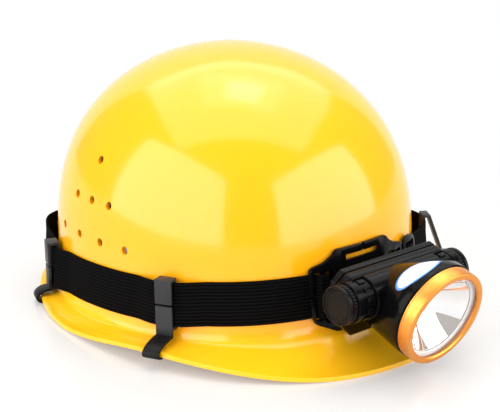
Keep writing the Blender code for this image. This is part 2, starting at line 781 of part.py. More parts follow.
def key_seat(turn):
    # How far in from the wall's outer face the key's two plates stand, at its narrowest
    out = wall_normal(turn)
    along = out.cross(Vector((0, 0, 1)))
    top = BAND_BASE + KEY_OUTER_HEIGHT
    scale = wall_scale(top)
    inner_half = SHELL_HALF_WIDTH * scale - SHELL_WALL
    inner_length = SHELL_HALF_LENGTH * scale - SHELL_WALL
    band_out = BAND_THICKNESS / 2
    if math.cos(turn) < 0:
        band_out -= NAPE_INSET
    band_half = BAND_HALF_WIDTH + band_out
    band_length = BAND_HALF_LENGTH + band_out

    def inside_wall(point):
        return plan_field(point, inner_half, inner_length, inner_length)

    def inside_band(point):
        return (point.x / band_half) ** 2 + (point.y / band_length) ** 2 - 1

    wall_gaps = []
    band_gaps = []
    centre = wall_point(turn, top)
    for side in (-KEY_WIDTH / 2, 0.0, KEY_WIDTH / 2):
        start = Vector((centre.x, centre.y, 0)) + along * side - out * (SHELL_WALL + KEY_THICKNESS)
        wall_gaps.append(reach(start, out, inside_wall))
        band_gaps.append(reach(start, -out, inside_band))
    base = -(SHELL_WALL + KEY_THICKNESS)
    return base + min(wall_gaps), base - min(band_gaps)


def harness_key(name, turn):
    # U-shaped hanger between the shell's wall and the headband
    outer, inner = key_seat(turn)
    outer -= SEAT_GAP + KEY_THICKNESS / 2
    inner += SEAT_GAP + KEY_THICKNESS / 2
    web = KEY_THICKNESS / 2
    path = [(inner, KEY_INNER_HEIGHT), (inner, web), (outer, web), (outer, KEY_OUTER_HEIGHT)]
    mesh = extruded(name, [strip(path, KEY_THICKNESS)], KEY_WIDTH)
    centre = wall_point(turn, BAND_BASE + KEY_OUTER_HEIGHT)
    place(name, mesh, cap, harness_plastic, (centre.x, centre.y, BAND_BASE), radial_rotation(turn))


def strap_foot(turn):
    # Where a crown strap hangs in a key's fold
    _, inner = key_seat(turn)
    hang = inner + KEY_THICKNESS + 2 * SEAT_GAP + CROWN_STRAP_THICKNESS / 2
    foot = wall_point(turn, BAND_BASE + KEY_OUTER_HEIGHT, hang)
    foot.z = 0
    return foot


def crown_strap(name, turn, drop):
    # Webbing from one key over the head to the opposite key
    front = strap_foot(turn)
    rear = strap_foot(turn + math.pi)
    base = BAND_BASE + KEY_THICKNESS + SEAT_GAP
    spring = BAND_BASE + BAND_HEIGHT + 2 * CROWN_STRAP_THICKNESS
    rise = SHELL_HEIGHT - SHELL_WALL - CROWN_CLEARANCE - drop - spring
    line = [(1.0, base), (1.0, (base + spring) / 2)]
    count = BAND_SEGMENTS // 2
    for step in range(count + 1):
        angle = math.pi * step / count
        line.append((math.cos(angle), spring + rise * math.sin(angle)))
    line += [(-1.0, (base + spring) / 2), (-1.0, base)]
    across = wall_normal(turn).cross(Vector((0, 0, 1))) * (CROWN_STRAP_WIDTH / 2)
    middle = [front.lerp(rear, (1 - share) / 2) + Vector((0, 0, height)) for share, height in line]
    rows = [[point + across for point in middle], [point - across for point in middle]]
    strap = place(name, skin(name, rows), cap, webbing)
    thicken(strap, CROWN_STRAP_THICKNESS)


KEY_TURNS = {"front_left": KEY_TURN, "rear_left": 180 - KEY_TURN,
             "rear_right": KEY_TURN - 180, "front_right": -KEY_TURN}
for key_name, key_turn in KEY_TURNS.items():
    harness_key("harness_key_" + key_name, math.radians(key_turn))
crown_strap("crown_strap_upper", math.radians(KEY_TURN), 0.0)
CROSSING_SAG = (CROWN_STRAP_WIDTH / 2) ** 2 / (2 * BAND_HALF_WIDTH)
CROSSING_DROP = CROWN_STRAP_THICKNESS + 2 * SEAT_GAP + CROSSING_SAG
crown_strap("crown_strap_lower", math.radians(-KEY_TURN), CROSSING_DROP)


# Elastic strap, woven through the plate's wings and the slider and lifted over the clips' tongues

def flare(low, high):
    # How much farther out the wall stands at one height than at another
    return (wall_scale(low) - wall_scale(high)) * SHELL_HALF_LENGTH


def clip_under(turn):
    # Height of the bar that closes a clip's loop below the strap
    slope = STRAP_PITCH * CLIP_WIDTH / 2
    return strap_height(turn) - STRAP_WIDTH / 2 - slope - SEAT_GAP - CLIP_THICKNESS / 2


def clip_lift(turn):
    # How far a clip's inner bar holds the strap off the wall
    top = strap_height(turn) + STRAP_WIDTH / 2
    return CLIP_THICKNESS + SEAT_GAP + 2 * CLIP_SAG + flare(clip_under(turn), top)


CLIP_ARCS = []
CLIP_LIFTS = []
for lifted_turn in CLIP_TURNS.values():
    CLIP_ARCS.append(distance_at(math.radians(lifted_turn)))
    CLIP_LIFTS.append(clip_lift(math.radians(lifted_turn)))
CLIP_FLAT = CLIP_WIDTH / 2 + SEAT_GAP

# The slider is flat, leans with the wall and stands clear of the strap's two edges
slider_turn = turn_at(SLIDER_ARC)
slider_middle = strap_height(slider_turn)
slider_foot = slider_middle - STRAP_WIDTH / 2
SLIDER_SLOPE = flare(slider_foot, slider_foot + STRAP_WIDTH) / STRAP_WIDTH
SLIDER_STAND = flare(slider_foot, slider_middle) - SLIDER_SLOPE * STRAP_WIDTH / 2
SLIDER_BACK = HOLD_OFFSET + SLIDER_STAND
SLIDER_HIGH = SLIDER_BACK + SLIDER_THICKNESS + SEAT_GAP + STRAP_THICKNESS / 2


def strap_offset(distance):
    # Middle of the strap off the wall, at a distance round from the front centre
    from_front = min(distance, GIRTH - distance)
    for slot, inwards in ((WING_SLOT_IN, 1.0), (WING_SLOT_OUT, -1.0)):
        if abs(from_front - slot) <= WEAVE_RUN:
            share = 0.5 + inwards * (from_front - slot) / WEAVE_RUN / 2
            return STRAP_LOW + (PLATE_HIGH - STRAP_LOW) * share
    if WING_SLOT_IN < from_front < WING_SLOT_OUT:
        return PLATE_HIGH
    from_slider = abs(distance - SLIDER_ARC)
    if from_slider < SLIDER_SLOT + WEAVE_RUN:
        share = min(1.0, (SLIDER_SLOT + WEAVE_RUN - from_slider) / WEAVE_RUN / 2)
        return STRAP_LOW + (SLIDER_HIGH - STRAP_LOW) * share
    lift = 0.0
    for clip, raised in zip(CLIP_ARCS, CLIP_LIFTS):
        away = (abs(distance - clip) - CLIP_FLAT) / CLIP_RAMP
        away = min(1.0, max(0.0, away))
        lift = max(lift, raised * (1 - away * away * (3 - 2 * away)))
    return STRAP_LOW + lift


def strap_stations():
    # Distances at which the strap bends, and even steps between them
    bends = []
    for slot in (WING_SLOT_IN, WING_SLOT_OUT):
        for edge in (slot - WEAVE_RUN, slot + WEAVE_RUN):
            bends += [edge, GIRTH - edge]
    for slot in (-SLIDER_SLOT, SLIDER_SLOT):
        bends += [SLIDER_ARC + slot - WEAVE_RUN, SLIDER_ARC + slot + WEAVE_RUN]
    for clip in CLIP_ARCS:
        for side in (-1, 1):
            bends += [clip + side * (CLIP_FLAT + CLIP_RAMP * share) for share in (0.0, 0.25, 0.5, 0.75, 1.0)]
    bends.sort()
    stations = [STRAP_TAIL]
    for bend in bends + [GIRTH - STRAP_TAIL]:
        count = max(1, math.ceil((bend - stations[-1]) / (GIRTH / SHELL_SEGMENTS)))
        start = stations[-1]
        stations += [start + (bend - start) * step / count for step in range(1, count + 1)]
    return stations


def strap_rows():
    # Upper edge, a row where the wall turns into the crown, and lower edge
    rows = [[], [], []]
    for distance in strap_stations():
        turn = turn_at(distance)
        top = strap_height(turn) + STRAP_WIDTH / 2
        heights = (top, min(CROWN_START, top - STRAP_WIDTH / 4), top - STRAP_WIDTH)
        for row, height in zip(rows, heights):
            row.append(wall_point(turn, height, strap_offset(distance)))
    return rows


strap = place("head_strap", skin("head_strap", strap_rows()), cap, webbing)
thicken(strap, STRAP_THICKNESS)

SLIDER_HEIGHT = STRAP_WIDTH + 2 * (SLOT_SIDE_PLAY + SLIDER_WALL)
slider_outline = slot_outline(0, 0, 2 * SLIDER_HALF, SLIDER_HEIGHT, SLIDER_CORNER)
slider_slots = [slot_outline(side * SLIDER_SLOT, 0, SLOT_WIDTH, STRAP_WIDTH + 2 * SLOT_SIDE_PLAY)
                for side in (-1, 1)]
slider_mesh = extruded("strap_slider", [slider_outline] + slider_slots, SLIDER_THICKNESS)
slider_at = wall_point(slider_turn, slider_middle, SLIDER_BACK + SLIDER_THICKNESS / 2)
place("strap_slider", slider_mesh, cap, black_plastic, slider_at,
      facing_rotation(slider_turn, math.atan(SLIDER_SLOPE)))


# Clips that hold the strap to the brim

def inside_brim(point):
    return plan_field(point, BRIM_HALF_WIDTH, VISOR_REACH, REAR_REACH, BRIM_REAR_POWER)


def brim_hold(turn, centre):
    # Reach to the brim's edge, and the lip's lowest and highest points, across the clip's width
    out = wall_normal(turn)
    along = out.cross(Vector((0, 0, 1)))
    reaches = []
    tops = []
    for side in (-CLIP_WIDTH / 2, 0.0, CLIP_WIDTH / 2):
        start = Vector((centre.x, centre.y, 0)) + along * side
        run = reach(start, out, inside_brim)
        reaches.append(run)
        tops.append(brim_edge(brim_turn(start + out * run)).z)
    return max(reaches), min(tops) - SHELL_WALL, max(tops)


def helmet_clip(name, turn):
    # A loop round the strap, slit across its face, and a hook round the brim's lip
    middle = strap_height(turn)
    under = clip_under(turn)
    over = 2 * middle - under
    centre = wall_point(turn, under)
    edge, low, high = brim_hold(turn, centre)
    inner = STRAP_GAP + CLIP_THICKNESS / 2
    face = STRAP_GAP + clip_lift(turn) + STRAP_THICKNESS + SEAT_GAP + CLIP_THICKNESS / 2
    hook = (high + low) / 2
    drop = (high - low) / 2 + CLIP_PLAY + CLIP_THICKNESS / 2
    loop = [(face, under), (inner, under), (inner, over), (face, over), (face, middle + CLIP_SLIT / 2)]
    leg = [(face, middle - CLIP_SLIT / 2)]
    tip = edge + CLIP_HOOK_BULGE
    for step in range(CLIP_HOOK_STEPS + 1):
        angle = math.pi / 2 * (1 - 2 * step / CLIP_HOOK_STEPS)
        run, rise = (tip - face, CLIP_HOOK_RISE) if angle > 0 else (CLIP_TOE, drop)
        leg.append((tip - run * (1 - math.cos(angle)), hook + rise * math.sin(angle)))
    at = (centre.x, centre.y, 0)
    clip = place(name, extruded(name, [strip(loop, CLIP_THICKNESS)], CLIP_WIDTH), cap, grey_plastic, at,
                 radial_rotation(turn))
    hook_mesh = extruded(name + "_hook", [strip(leg, CLIP_THICKNESS)], CLIP_WIDTH)
    boolean(clip, place(name + "_hook", hook_mesh, cap, None, at, radial_rotation(turn)), 'UNION')


for clip_name, clip_turn in CLIP_TURNS.items():
    helmet_clip("clip_" + clip_name, math.radians(clip_turn))


# Mounting plate: a curved plate cut to its outline, with strap slots and two hinge ears

def wall_band(name, half_arc, heights, offset, thickness, material):
    # Curved sheet that follows the wall across the front
    count = 2 * math.ceil(half_arc / PLATE_FACET)
    rows = []
    for height in heights:
        turns = [turn_at(half_arc * (2 * step / count - 1)) for step in range(count + 1)]
        rows.append([wall_point(turn, height, offset) for turn in turns])
    band = place(name, skin(name, rows), cap, material)
    thicken(band, thickness)
    return band


def plate_outline():
    half = [(PLATE_HALF_BASE, PLATE_BASE, PLATE_CORNER),
            (WING_REACH - WING_OUTER_BAR, WING_FOOT - PLATE_CORNER, PLATE_CORNER),
            (WING_REACH, WING_FOOT + WING_OUTER_BAR, PLATE_CORNER),
            (WING_REACH, WING_TOP, PLATE_CORNER),
            (SHOULDER_REACH + PLATE_CORNER, WING_TOP + WING_OUTER_BAR, NECK_CORNER),
            (CROWN_LUG_HALF + WING_OUTER_BAR, CROWN_LUG_TOP - PLATE_CORNER, NECK_CORNER),
            (CROWN_LUG_HALF, CROWN_LUG_TOP, PLATE_CORNER)]
    return rounded(half + [(-x, y, radius) for x, y, radius in reversed(half)])


def plate_slots():
    # Slots where the strap, measured along the wall, passes through the wings
    wing_height = strap_height(0.0)
    tall = STRAP_WIDTH + 2 * SLOT_SIDE_PLAY
    slots = []
    for distance in (WING_SLOT_OUT, WING_SLOT_IN):
        x = wall_point(turn_at(distance), STRAP_MIDDLE_HEIGHT, PLATE_MIDDLE).x
        slots += [slot_outline(side * x, wing_height, SLOT_WIDTH, tall) for side in (-1, 1)]
    slots.append(slot_outline(0, CROWN_SLOT_HEIGHT, 2 * CROWN_SLOT_HALF, CROWN_SLOT_OPENING))
    return slots


WALL_FRONT = wall_point(0.0, HINGE_HEIGHT).y
PLATE_ROWS = (CROWN_LUG_TOP + PLATE_THICKNESS, CROWN_START, PLATE_BASE - PLATE_THICKNESS / 2)
PLATE_SWEEP = 4 * HINGE_STANDOFF
plate = wall_band("mount_plate", WING_REACH + PLATE_THICKNESS, PLATE_ROWS, PLATE_MIDDLE, PLATE_THICKNESS,
                  black_plastic)
outline_mesh = extruded("plate_outline_cutter", [plate_outline()] + plate_slots(), PLATE_SWEEP)
plate_shape = place("plate_outline_cutter", outline_mesh, cap, None, (0, WALL_FRONT, 0), BEAM)
boolean(plate, plate_shape, 'INTERSECT')


def slit_spans():
    # Cuts through the outer bars, where a strap is slipped in
    middle = strap_height(0.0)
    back = WALL_FRONT - PLATE_SWEEP / 2
    front = WALL_FRONT + PLATE_SWEEP / 2
    spans = [((-WING_SLIT / 2, back, CROWN_SLOT_HEIGHT), (WING_SLIT / 2, front, CROWN_LUG_TOP + WING_SLIT))]
    for near, far in ((WING_SLOT_OUT, WING_REACH + WING_SLIT), (-WING_REACH - WING_SLIT, -WING_SLOT_OUT)):
        spans.append(((near, back, middle - WING_SLIT / 2), (far, front, middle + WING_SLIT / 2)))
    return spans


boolean(plate, boxes("plate_slit_cutter", slit_spans(), cap))


def hinge_ear(side):
    # Lug that stands forward from the plate, round about the hinge axis
    middle = EAR_INNER + EAR_WIDTH / 2
    root = WALL_FRONT - wall_point(turn_at(middle), HINGE_HEIGHT, PLATE_MIDDLE).y
    tip = PLATE_FRONT + HINGE_STANDOFF + EAR_RADIUS
    low = HINGE_HEIGHT - EAR_RADIUS
    high = HINGE_HEIGHT + EAR_RADIUS
    outline = rounded([(root, low, 0), (tip, low, EAR_RADIUS), (tip, high, EAR_RADIUS), (root, high, 0)])
    name = "hinge_ear_left" if side > 0 else "hinge_ear_right"
    return place(name, extruded(name, [outline], EAR_WIDTH), cap, None, (side * middle, WALL_FRONT, 0),
                 radial_rotation(0.0))


for ear_side in (-1, 1):
    boolean(plate, hinge_ear(ear_side), 'UNION')
pin_hole = cylinders("pin_hole_cutter", PIN_RADIUS + RUNNING_GAP, 4 * PIN_HALF_LENGTH,
                     [(0, HINGE_Y, HINGE_HEIGHT)], 'X', cap)
boolean(plate, pin_hole)
cylinders("hinge_pin", PIN_RADIUS, 2 * PIN_HALF_LENGTH, [(0, HINGE_Y, HINGE_HEIGHT)], 'X', cap, steel)
PAD_OFFSET = HOLD_OFFSET - SEAT_GAP - PAD_THICKNESS / 2
PAD_ROWS = (PAD_BASE + PAD_HEIGHT, CROWN_START, PAD_BASE)
wall_band("plate_pad", PAD_HALF_WIDTH, PAD_ROWS, PAD_OFFSET, PAD_THICKNESS, foam)


# Lamp case: rear cover with the hinge knuckle, and the front case with the barrel and the head

def case_outline():
    half = [(CASE_FOOT_HALF, -CASE_FOOT_DROP), (CASE_HALF_WIDTH, CASE_ELBOW_RISE),
            (CASE_HALF_WIDTH, CASE_SHOULDER_RISE), (CASE_TOP_HALF, CASE_TOP_RISE)]
    corners = half + [(-x, y) for x, y in reversed(half)]
    return rounded([(x, y, CASE_CORNER) for x, y in corners])


def case_plate(name, back, front, material):
    # Octagonal plate across the beam, between two reaches
    mesh = extruded(name, [case_outline()], front - back)
    return place(name, mesh, lamp, material, (0, -(back + front) / 2, 0), BEAM)


def screw_frames():
    spots = {"top": (SCREW_TOP_X, CASE_TOP_RISE - SCREW_TOP_INSET), "low": (SCREW_LOW_X, SCREW_LOW_RISE)}
    turn = Matrix.Rotation(math.pi / 2, 4, 'X')
    frames = {}
    for level, (x, rise) in spots.items():
        for hand, side in (("right", -1), ("left", 1)):
            at = Matrix.Translation((side * x, COVER_BACKSET, rise))
            frames["case_screw_" + level + "_" + hand] = at @ turn
    return frames


def screw_profile(play):
    # Head towards the cover's back face, shank forwards into the case
    head = SCREW_HEAD_RADIUS + play
    shank = SCREW_RADIUS + play
    seat = SEAT_GAP + SCREW_HEAD_HEIGHT + play
    start = SEAT_GAP - 4 * play
    end = SEAT_GAP + SCREW_LENGTH + play
    return [(0, end), (shank, end), (shank, seat), (head, seat), (head, start), (0, start)]


rear_cover = case_plate("rear_cover", -COVER_BACKSET, PARTING, black_plastic)
knuckle = cylinders("knuckle", EAR_RADIUS, 2 * PIN_HALF_LENGTH, [(0, 0, 0)], 'X', lamp)
boolean(rear_cover, knuckle, 'UNION')
NOTCH = EAR_RADIUS + RUNNING_GAP
NOTCH_LOW = -CASE_FOOT_DROP - NOTCH
ear_out = EAR_INNER + EAR_WIDTH + RUNNING_GAP
ear_in = EAR_INNER - RUNNING_GAP
notches = boxes("ear_notch_cutter", [((near, -NOTCH, NOTCH_LOW), (far, 2 * NOTCH, NOTCH))
                                     for near, far in ((ear_in, ear_out), (-ear_out, -ear_in))], lamp)
pin_bore = cylinders("pin_bore_cutter", PIN_RADIUS + RUNNING_GAP, 2 * (PIN_HALF_LENGTH + SEAT_GAP),
                     [(0, 0, 0)], 'X', lamp)
knuckle_groove = cylinders("knuckle_groove_cutter", EAR_RADIUS + SEAT_GAP, 2 * (PIN_HALF_LENGTH + SEAT_GAP),
                           [(0, 0, 0)], 'X', lamp)
screw_hole = spun("screw_hole", screw_profile(SEAT_GAP))
screw_hole_mesh = repeated("screw_hole_cutter", screw_hole, screw_frames().values())
screw_holes = place("screw_hole_cutter", screw_hole_mesh, lamp)
for screw_name, screw_frame in screw_frames().items():
    place(screw_name, spun(screw_name, screw_profile(0.0)), lamp, steel, screw_frame.to_translation(),
          screw_frame.to_euler())
bore = cylinders("bore_cutter", BORE_RADIUS, 4 * CASE_HALF_WIDTH, [(0, -BARREL_REACH, BARREL_RISE)],
                 'X', lamp, segments=ROUND_SEGMENTS)
for cutter in (notches, pin_bore, screw_holes, bore):
    boolean(rear_cover, cutter)


def circle_row(radius, rise, reach_at):
    row = []
    for step in range(ROUND_SEGMENTS):
        angle = 2 * math.pi * step / ROUND_SEGMENTS
        row.append((radius * math.cos(angle), -reach_at, rise + radius * math.sin(angle)))
    return row


SHOULDER = BEZEL_REACH - BEZEL_DEPTH - SEAT_GAP
LENS_RADIUS = BEZEL_RADIUS - BEZEL_WALL - SEAT_GAP
LENS_FRONT = -BEZEL_LIP - SEAT_GAP
GASKET_FRONT = LENS_FRONT - LENS_THICKNESS - SEAT_GAP
MOUTH = GASKET_FRONT - GASKET_THICKNESS - SEAT_GAP
COLLAR_FRONT = MOUTH - FLANGE_RIM - SEAT_GAP
THROAT = MOUTH - REFLECTOR_DEPTH
BOARD_FRONT = THROAT - SEAT_GAP
SINK_FRONT = BOARD_FRONT - LED_BOARD_THICKNESS - SEAT_GAP
CAVITY_FLOOR = SINK_FRONT - HEAT_SINK_THICKNESS - SEAT_GAP

front_case = case_plate("front_case", FLANGE_BACK, FLANGE_FRONT, black_plastic)
head_rows = [circle_row(HEAD_ROOT_RADIUS, OPTIC_RISE - HEAD_ROOT_DROP, FLANGE_FRONT - FLANGE_THICKNESS / 4),
             circle_row(HEAD_RADIUS, OPTIC_RISE, SHOULDER - HEAD_CYLINDER),
             circle_row(HEAD_RADIUS, OPTIC_RISE, SHOULDER),
             circle_row(LENS_RADIUS, OPTIC_RISE, SHOULDER),
             circle_row(LENS_RADIUS, OPTIC_RISE, BEZEL_REACH + COLLAR_FRONT)]
head = place("head_cone", skin("head_cone", head_rows, closed=True, capped=True), lamp)
half_barrel = [(BARREL_RING_RADIUS, CASE_HALF_WIDTH), (BARREL_RING_RADIUS, BARREL_RING_START),
               (BARREL_RADIUS, BARREL_RING_START), (BARREL_RADIUS, BARREL_COLLAR_START),
               (BARREL_COLLAR_RADIUS, BARREL_COLLAR_START)]
barrel_profile = [(0, CASE_HALF_WIDTH)] + half_barrel
barrel_profile += [(radius, -z) for radius, z in reversed(half_barrel)] + [(0, -CASE_HALF_WIDTH)]
barrel_body = turned("barrel_body", barrel_profile, barrel, None, (0, 0, 0), ACROSS)
trim_low = (-2 * CASE_HALF_WIDTH, -FLANGE_BACK - FLANGE_THICKNESS / 4, -CASE_TOP_RISE)
trim_high = (2 * CASE_HALF_WIDTH, BARREL_SETBACK, 2 * CASE_TOP_RISE)
behind = boxes("barrel_trim_cutter", [(trim_low, trim_high)], lamp)
boolean(barrel_body, behind)
boolean(front_case, head, 'UNION')
boolean(front_case, barrel_body, 'UNION')
COLLAR_BORE = LENS_RADIUS - COLLAR_WALL
SINK_BORE = HEAT_SINK_RADIUS + SEAT_GAP
cavity = turned("cavity_cutter", [(0, 0), (COLLAR_BORE, 0), (COLLAR_BORE, -BEZEL_DEPTH - SEAT_GAP),
                                  (SINK_BORE, THROAT), (SINK_BORE, CAVITY_FLOOR), (0, CAVITY_FLOOR)], optic)
POCKET_HALF = BOARD_HALF_WIDTH + SEAT_GAP
pocket_low = (-POCKET_HALF, -FLANGE_BACK - BOARD_POCKET_DEPTH, BOARD_RISE - SEAT_GAP)
pocket_high = (POCKET_HALF, 0, BOARD_RISE + BOARD_HEIGHT + SEAT_GAP)
pocket = boxes("board_pocket_cutter", [(pocket_low, pocket_high)], lamp)
for cutter in (bore, cavity, pocket, notches, knuckle_groove, screw_holes):
    boolean(front_case, cutter)
BOARD_BACK = PARTING + SEAT_GAP
boxes("driver_board", [((-BOARD_HALF_WIDTH, -BOARD_BACK - BOARD_THICKNESS, BOARD_RISE),
                        (BOARD_HALF_WIDTH, -BOARD_BACK, BOARD_RISE + BOARD_HEIGHT))], lamp, board_green)


# Battery, its contacts, the switch and the two end discs

CELL_END = CELL_LENGTH / 2
CELL_SHOULDER = CELL_BUTTON_HEIGHT - CELL_END
turned("battery_cell", [(0, CELL_END), (CELL_RADIUS, CELL_END), (CELL_RADIUS, CELL_SHOULDER),
                        (CELL_BUTTON_RADIUS, CELL_SHOULDER), (CELL_BUTTON_RADIUS, -CELL_END),
                        (0, -CELL_END)], barrel, cell_wrap, (0, 0, 0), ACROSS)
TERMINAL_START = CELL_END + SEAT_GAP
SWITCH_START = TERMINAL_START + TERMINAL_THICKNESS + SEAT_GAP
SWITCH_END = CASE_HALF_WIDTH - SEAT_GAP
RIGHT = (0, -math.pi / 2, 0)
TERMINAL_END = TERMINAL_START + TERMINAL_THICKNESS
turned("battery_terminal", [(0, TERMINAL_END), (TERMINAL_RADIUS, TERMINAL_END),
                            (TERMINAL_RADIUS, TERMINAL_START), (0, TERMINAL_START)],
       barrel, brass, (0, 0, 0), RIGHT)
SWITCH_RADIUS = BORE_RADIUS - SEAT_GAP
SHAFT_HOLE = SHAFT_RADIUS + RUNNING_GAP
turned("switch_body", [(SHAFT_HOLE, SWITCH_END), (SWITCH_RADIUS, SWITCH_END), (SWITCH_RADIUS, SWITCH_START),
                       (SHAFT_HOLE, SWITCH_START)], barrel, grey_plastic, (0, 0, 0), RIGHT, ring=True)


def disc_profile(core_radius, core_length):
    # Dished end disc with a rim and a ring groove, and a core that goes into the barrel
    end = DISC_START + DISC_LENGTH
    dish = DISC_RADIUS - DISC_RIM
    groove = DISC_START + DISC_LENGTH / 2
    tip = DISC_START - core_length
    return [(0, end - DISC_DISH), (dish, end - DISC_DISH), (dish, end),
            (DISC_RADIUS - DISC_DISH / 2, end), (DISC_RADIUS, end - DISC_DISH / 2),
            (DISC_RADIUS, groove + DISC_DISH), (dish, groove + DISC_DISH / 2), (dish, groove),
            (DISC_RADIUS, groove - DISC_DISH / 2), (DISC_RADIUS, DISC_START),
            (core_radius, DISC_START), (core_radius, tip), (0, tip)]


def end_disc(name, core_radius, core_length, rotation):
    disc = turned(name, disc_profile(core_radius, core_length), barrel, black_plastic, (0, 0, 0), rotation)
    side = 1 if rotation[1] > 0 else -1
    spots = []
    for step in range(DISC_GROOVES):
        angle = 2 * math.pi * (step + 0.5) / DISC_GROOVES
        spots.append((side * DISC_START, DISC_RADIUS * math.cos(angle), DISC_RADIUS * math.sin(angle)))
    grooves = cylinders(name + "_groove_cutter", DISC_GROOVE_RADIUS, DISC_LENGTH, spots, 'X', barrel,
                        segments=6)
    boolean(disc, grooves)


end_disc("switch_knob", SHAFT_RADIUS, SHAFT_LENGTH, RIGHT)
end_disc("battery_cap", BORE_RADIUS - SEAT_GAP, PLUG_LENGTH, ACROSS)


def contact_spring():
    start = CELL_END + SEAT_GAP + SPRING_WIRE
    end = DISC_START - PLUG_LENGTH - SEAT_GAP - SPRING_WIRE
    count = COIL_STEPS * SPRING_TURNS
    curve = bpy.data.curves.new("contact_spring", 'CURVE')
    curve.dimensions = '3D'
    curve.bevel_depth = SPRING_WIRE
    curve.bevel_resolution = 1
    curve.use_fill_caps = True
    spline = curve.splines.new('POLY')
    spline.points.add(count)
    for step, point in enumerate(spline.points):
        share = step / count
        angle = 2 * math.pi * SPRING_TURNS * share
        radius = SPRING_TIP_RADIUS + (SPRING_RADIUS - SPRING_TIP_RADIUS) * share
        point.co = (start + (end - start) * share, radius * math.cos(angle), radius * math.sin(angle), 1)
    curve.materials.append(steel)
    item = bpy.data.objects.new("contact_spring", curve)
    item.parent = barrel
    parts.objects.link(item)


contact_spring()


# Optics, from the bezel back to the heat sink

def paraboloid(radius_offset):
    # Points of the reflector's bowl from the mouth down to the throat
    points = []
    for step in range(BOWL_ROWS + 1):
        share = 1 - step / BOWL_ROWS
        radius = math.sqrt(REFLECTOR_THROAT ** 2 + (REFLECTOR_MOUTH ** 2 - REFLECTOR_THROAT ** 2) * share)
        points.append((radius + radius_offset, THROAT + REFLECTOR_DEPTH * share))
    return points


def optic_disc(name, radius, front, thickness, material):
    profile = [(0, front), (radius, front), (radius, front - thickness), (0, front - thickness)]
    return turned(name, profile, optic, material)


BEZEL_BORE = BEZEL_RADIUS - BEZEL_WALL
turned("bezel_ring", [(BEZEL_OPENING + BEZEL_CHAMFER, 0), (BEZEL_RADIUS - BEZEL_CHAMFER, 0),
                      (BEZEL_RADIUS, -BEZEL_CHAMFER), (BEZEL_RADIUS, -BEZEL_DEPTH),
                      (BEZEL_BORE, -BEZEL_DEPTH), (BEZEL_BORE, -BEZEL_LIP),
                      (BEZEL_OPENING, -BEZEL_LIP), (BEZEL_OPENING, -BEZEL_CHAMFER)],
       optic, gold, ring=True)
optic_disc("lens", LENS_RADIUS, LENS_FRONT, LENS_THICKNESS, clear)
GASKET_BORE = LENS_RADIUS - GASKET_WIDTH
GASKET_BACK = GASKET_FRONT - GASKET_THICKNESS
turned("lens_gasket", [(GASKET_BORE, GASKET_FRONT), (LENS_RADIUS, GASKET_FRONT),
                       (LENS_RADIUS, GASKET_BACK), (GASKET_BORE, GASKET_BACK)],
       optic, white_rubber, ring=True)
outer_bowl = [point for point in paraboloid(REFLECTOR_WALL) if point[1] < MOUTH - FLANGE_RIM]
bowl_profile = [(LENS_RADIUS, MOUTH), (LENS_RADIUS, MOUTH - FLANGE_RIM),
                (REFLECTOR_MOUTH + REFLECTOR_WALL, MOUTH - FLANGE_RIM)]
turned("reflector", bowl_profile + outer_bowl + paraboloid(0.0)[::-1], optic, chrome, ring=True)
LED_BASE = BOARD_FRONT + SEAT_GAP
dome = [(LED_RADIUS * math.sin(angle), LED_BASE + LED_HEIGHT * math.cos(angle))
        for angle in (math.pi / 2 * step / 5 for step in range(6))]
turned("led_emitter", [(0, LED_BASE + LED_HEIGHT)] + dome[1:] + [(0, LED_BASE)], optic, phosphor,
       segments=SMALL_SEGMENTS)
optic_disc("led_board", LED_BOARD_RADIUS, BOARD_FRONT, LED_BOARD_THICKNESS, board_white)
optic_disc("heat_sink", HEAT_SINK_RADIUS, SINK_FRONT, HEAT_SINK_THICKNESS, aluminium)
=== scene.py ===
import bisect
import math

import bmesh
import bpy
from mathutils import Matrix, Vector


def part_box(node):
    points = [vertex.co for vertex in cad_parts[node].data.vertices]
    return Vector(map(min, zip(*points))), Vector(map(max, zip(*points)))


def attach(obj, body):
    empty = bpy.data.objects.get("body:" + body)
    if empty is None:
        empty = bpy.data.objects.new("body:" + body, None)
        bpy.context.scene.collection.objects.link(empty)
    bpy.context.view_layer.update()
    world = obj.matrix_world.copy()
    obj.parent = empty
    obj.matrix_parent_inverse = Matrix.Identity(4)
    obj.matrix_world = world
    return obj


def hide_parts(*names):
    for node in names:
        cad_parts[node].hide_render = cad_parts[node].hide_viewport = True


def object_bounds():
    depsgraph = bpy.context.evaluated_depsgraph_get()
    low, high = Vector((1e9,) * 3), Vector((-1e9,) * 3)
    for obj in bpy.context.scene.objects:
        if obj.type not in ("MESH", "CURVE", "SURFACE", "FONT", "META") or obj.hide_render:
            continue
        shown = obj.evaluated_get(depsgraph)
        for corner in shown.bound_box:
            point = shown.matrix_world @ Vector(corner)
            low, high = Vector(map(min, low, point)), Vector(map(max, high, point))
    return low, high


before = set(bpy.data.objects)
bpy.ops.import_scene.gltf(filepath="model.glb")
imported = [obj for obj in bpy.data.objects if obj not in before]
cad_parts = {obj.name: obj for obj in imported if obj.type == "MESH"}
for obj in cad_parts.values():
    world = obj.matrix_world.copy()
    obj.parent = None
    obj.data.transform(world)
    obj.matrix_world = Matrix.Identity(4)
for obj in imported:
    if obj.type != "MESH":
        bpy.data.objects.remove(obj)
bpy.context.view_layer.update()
scene = bpy.context.scene
print("frame loaded:", len(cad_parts), "nodes")


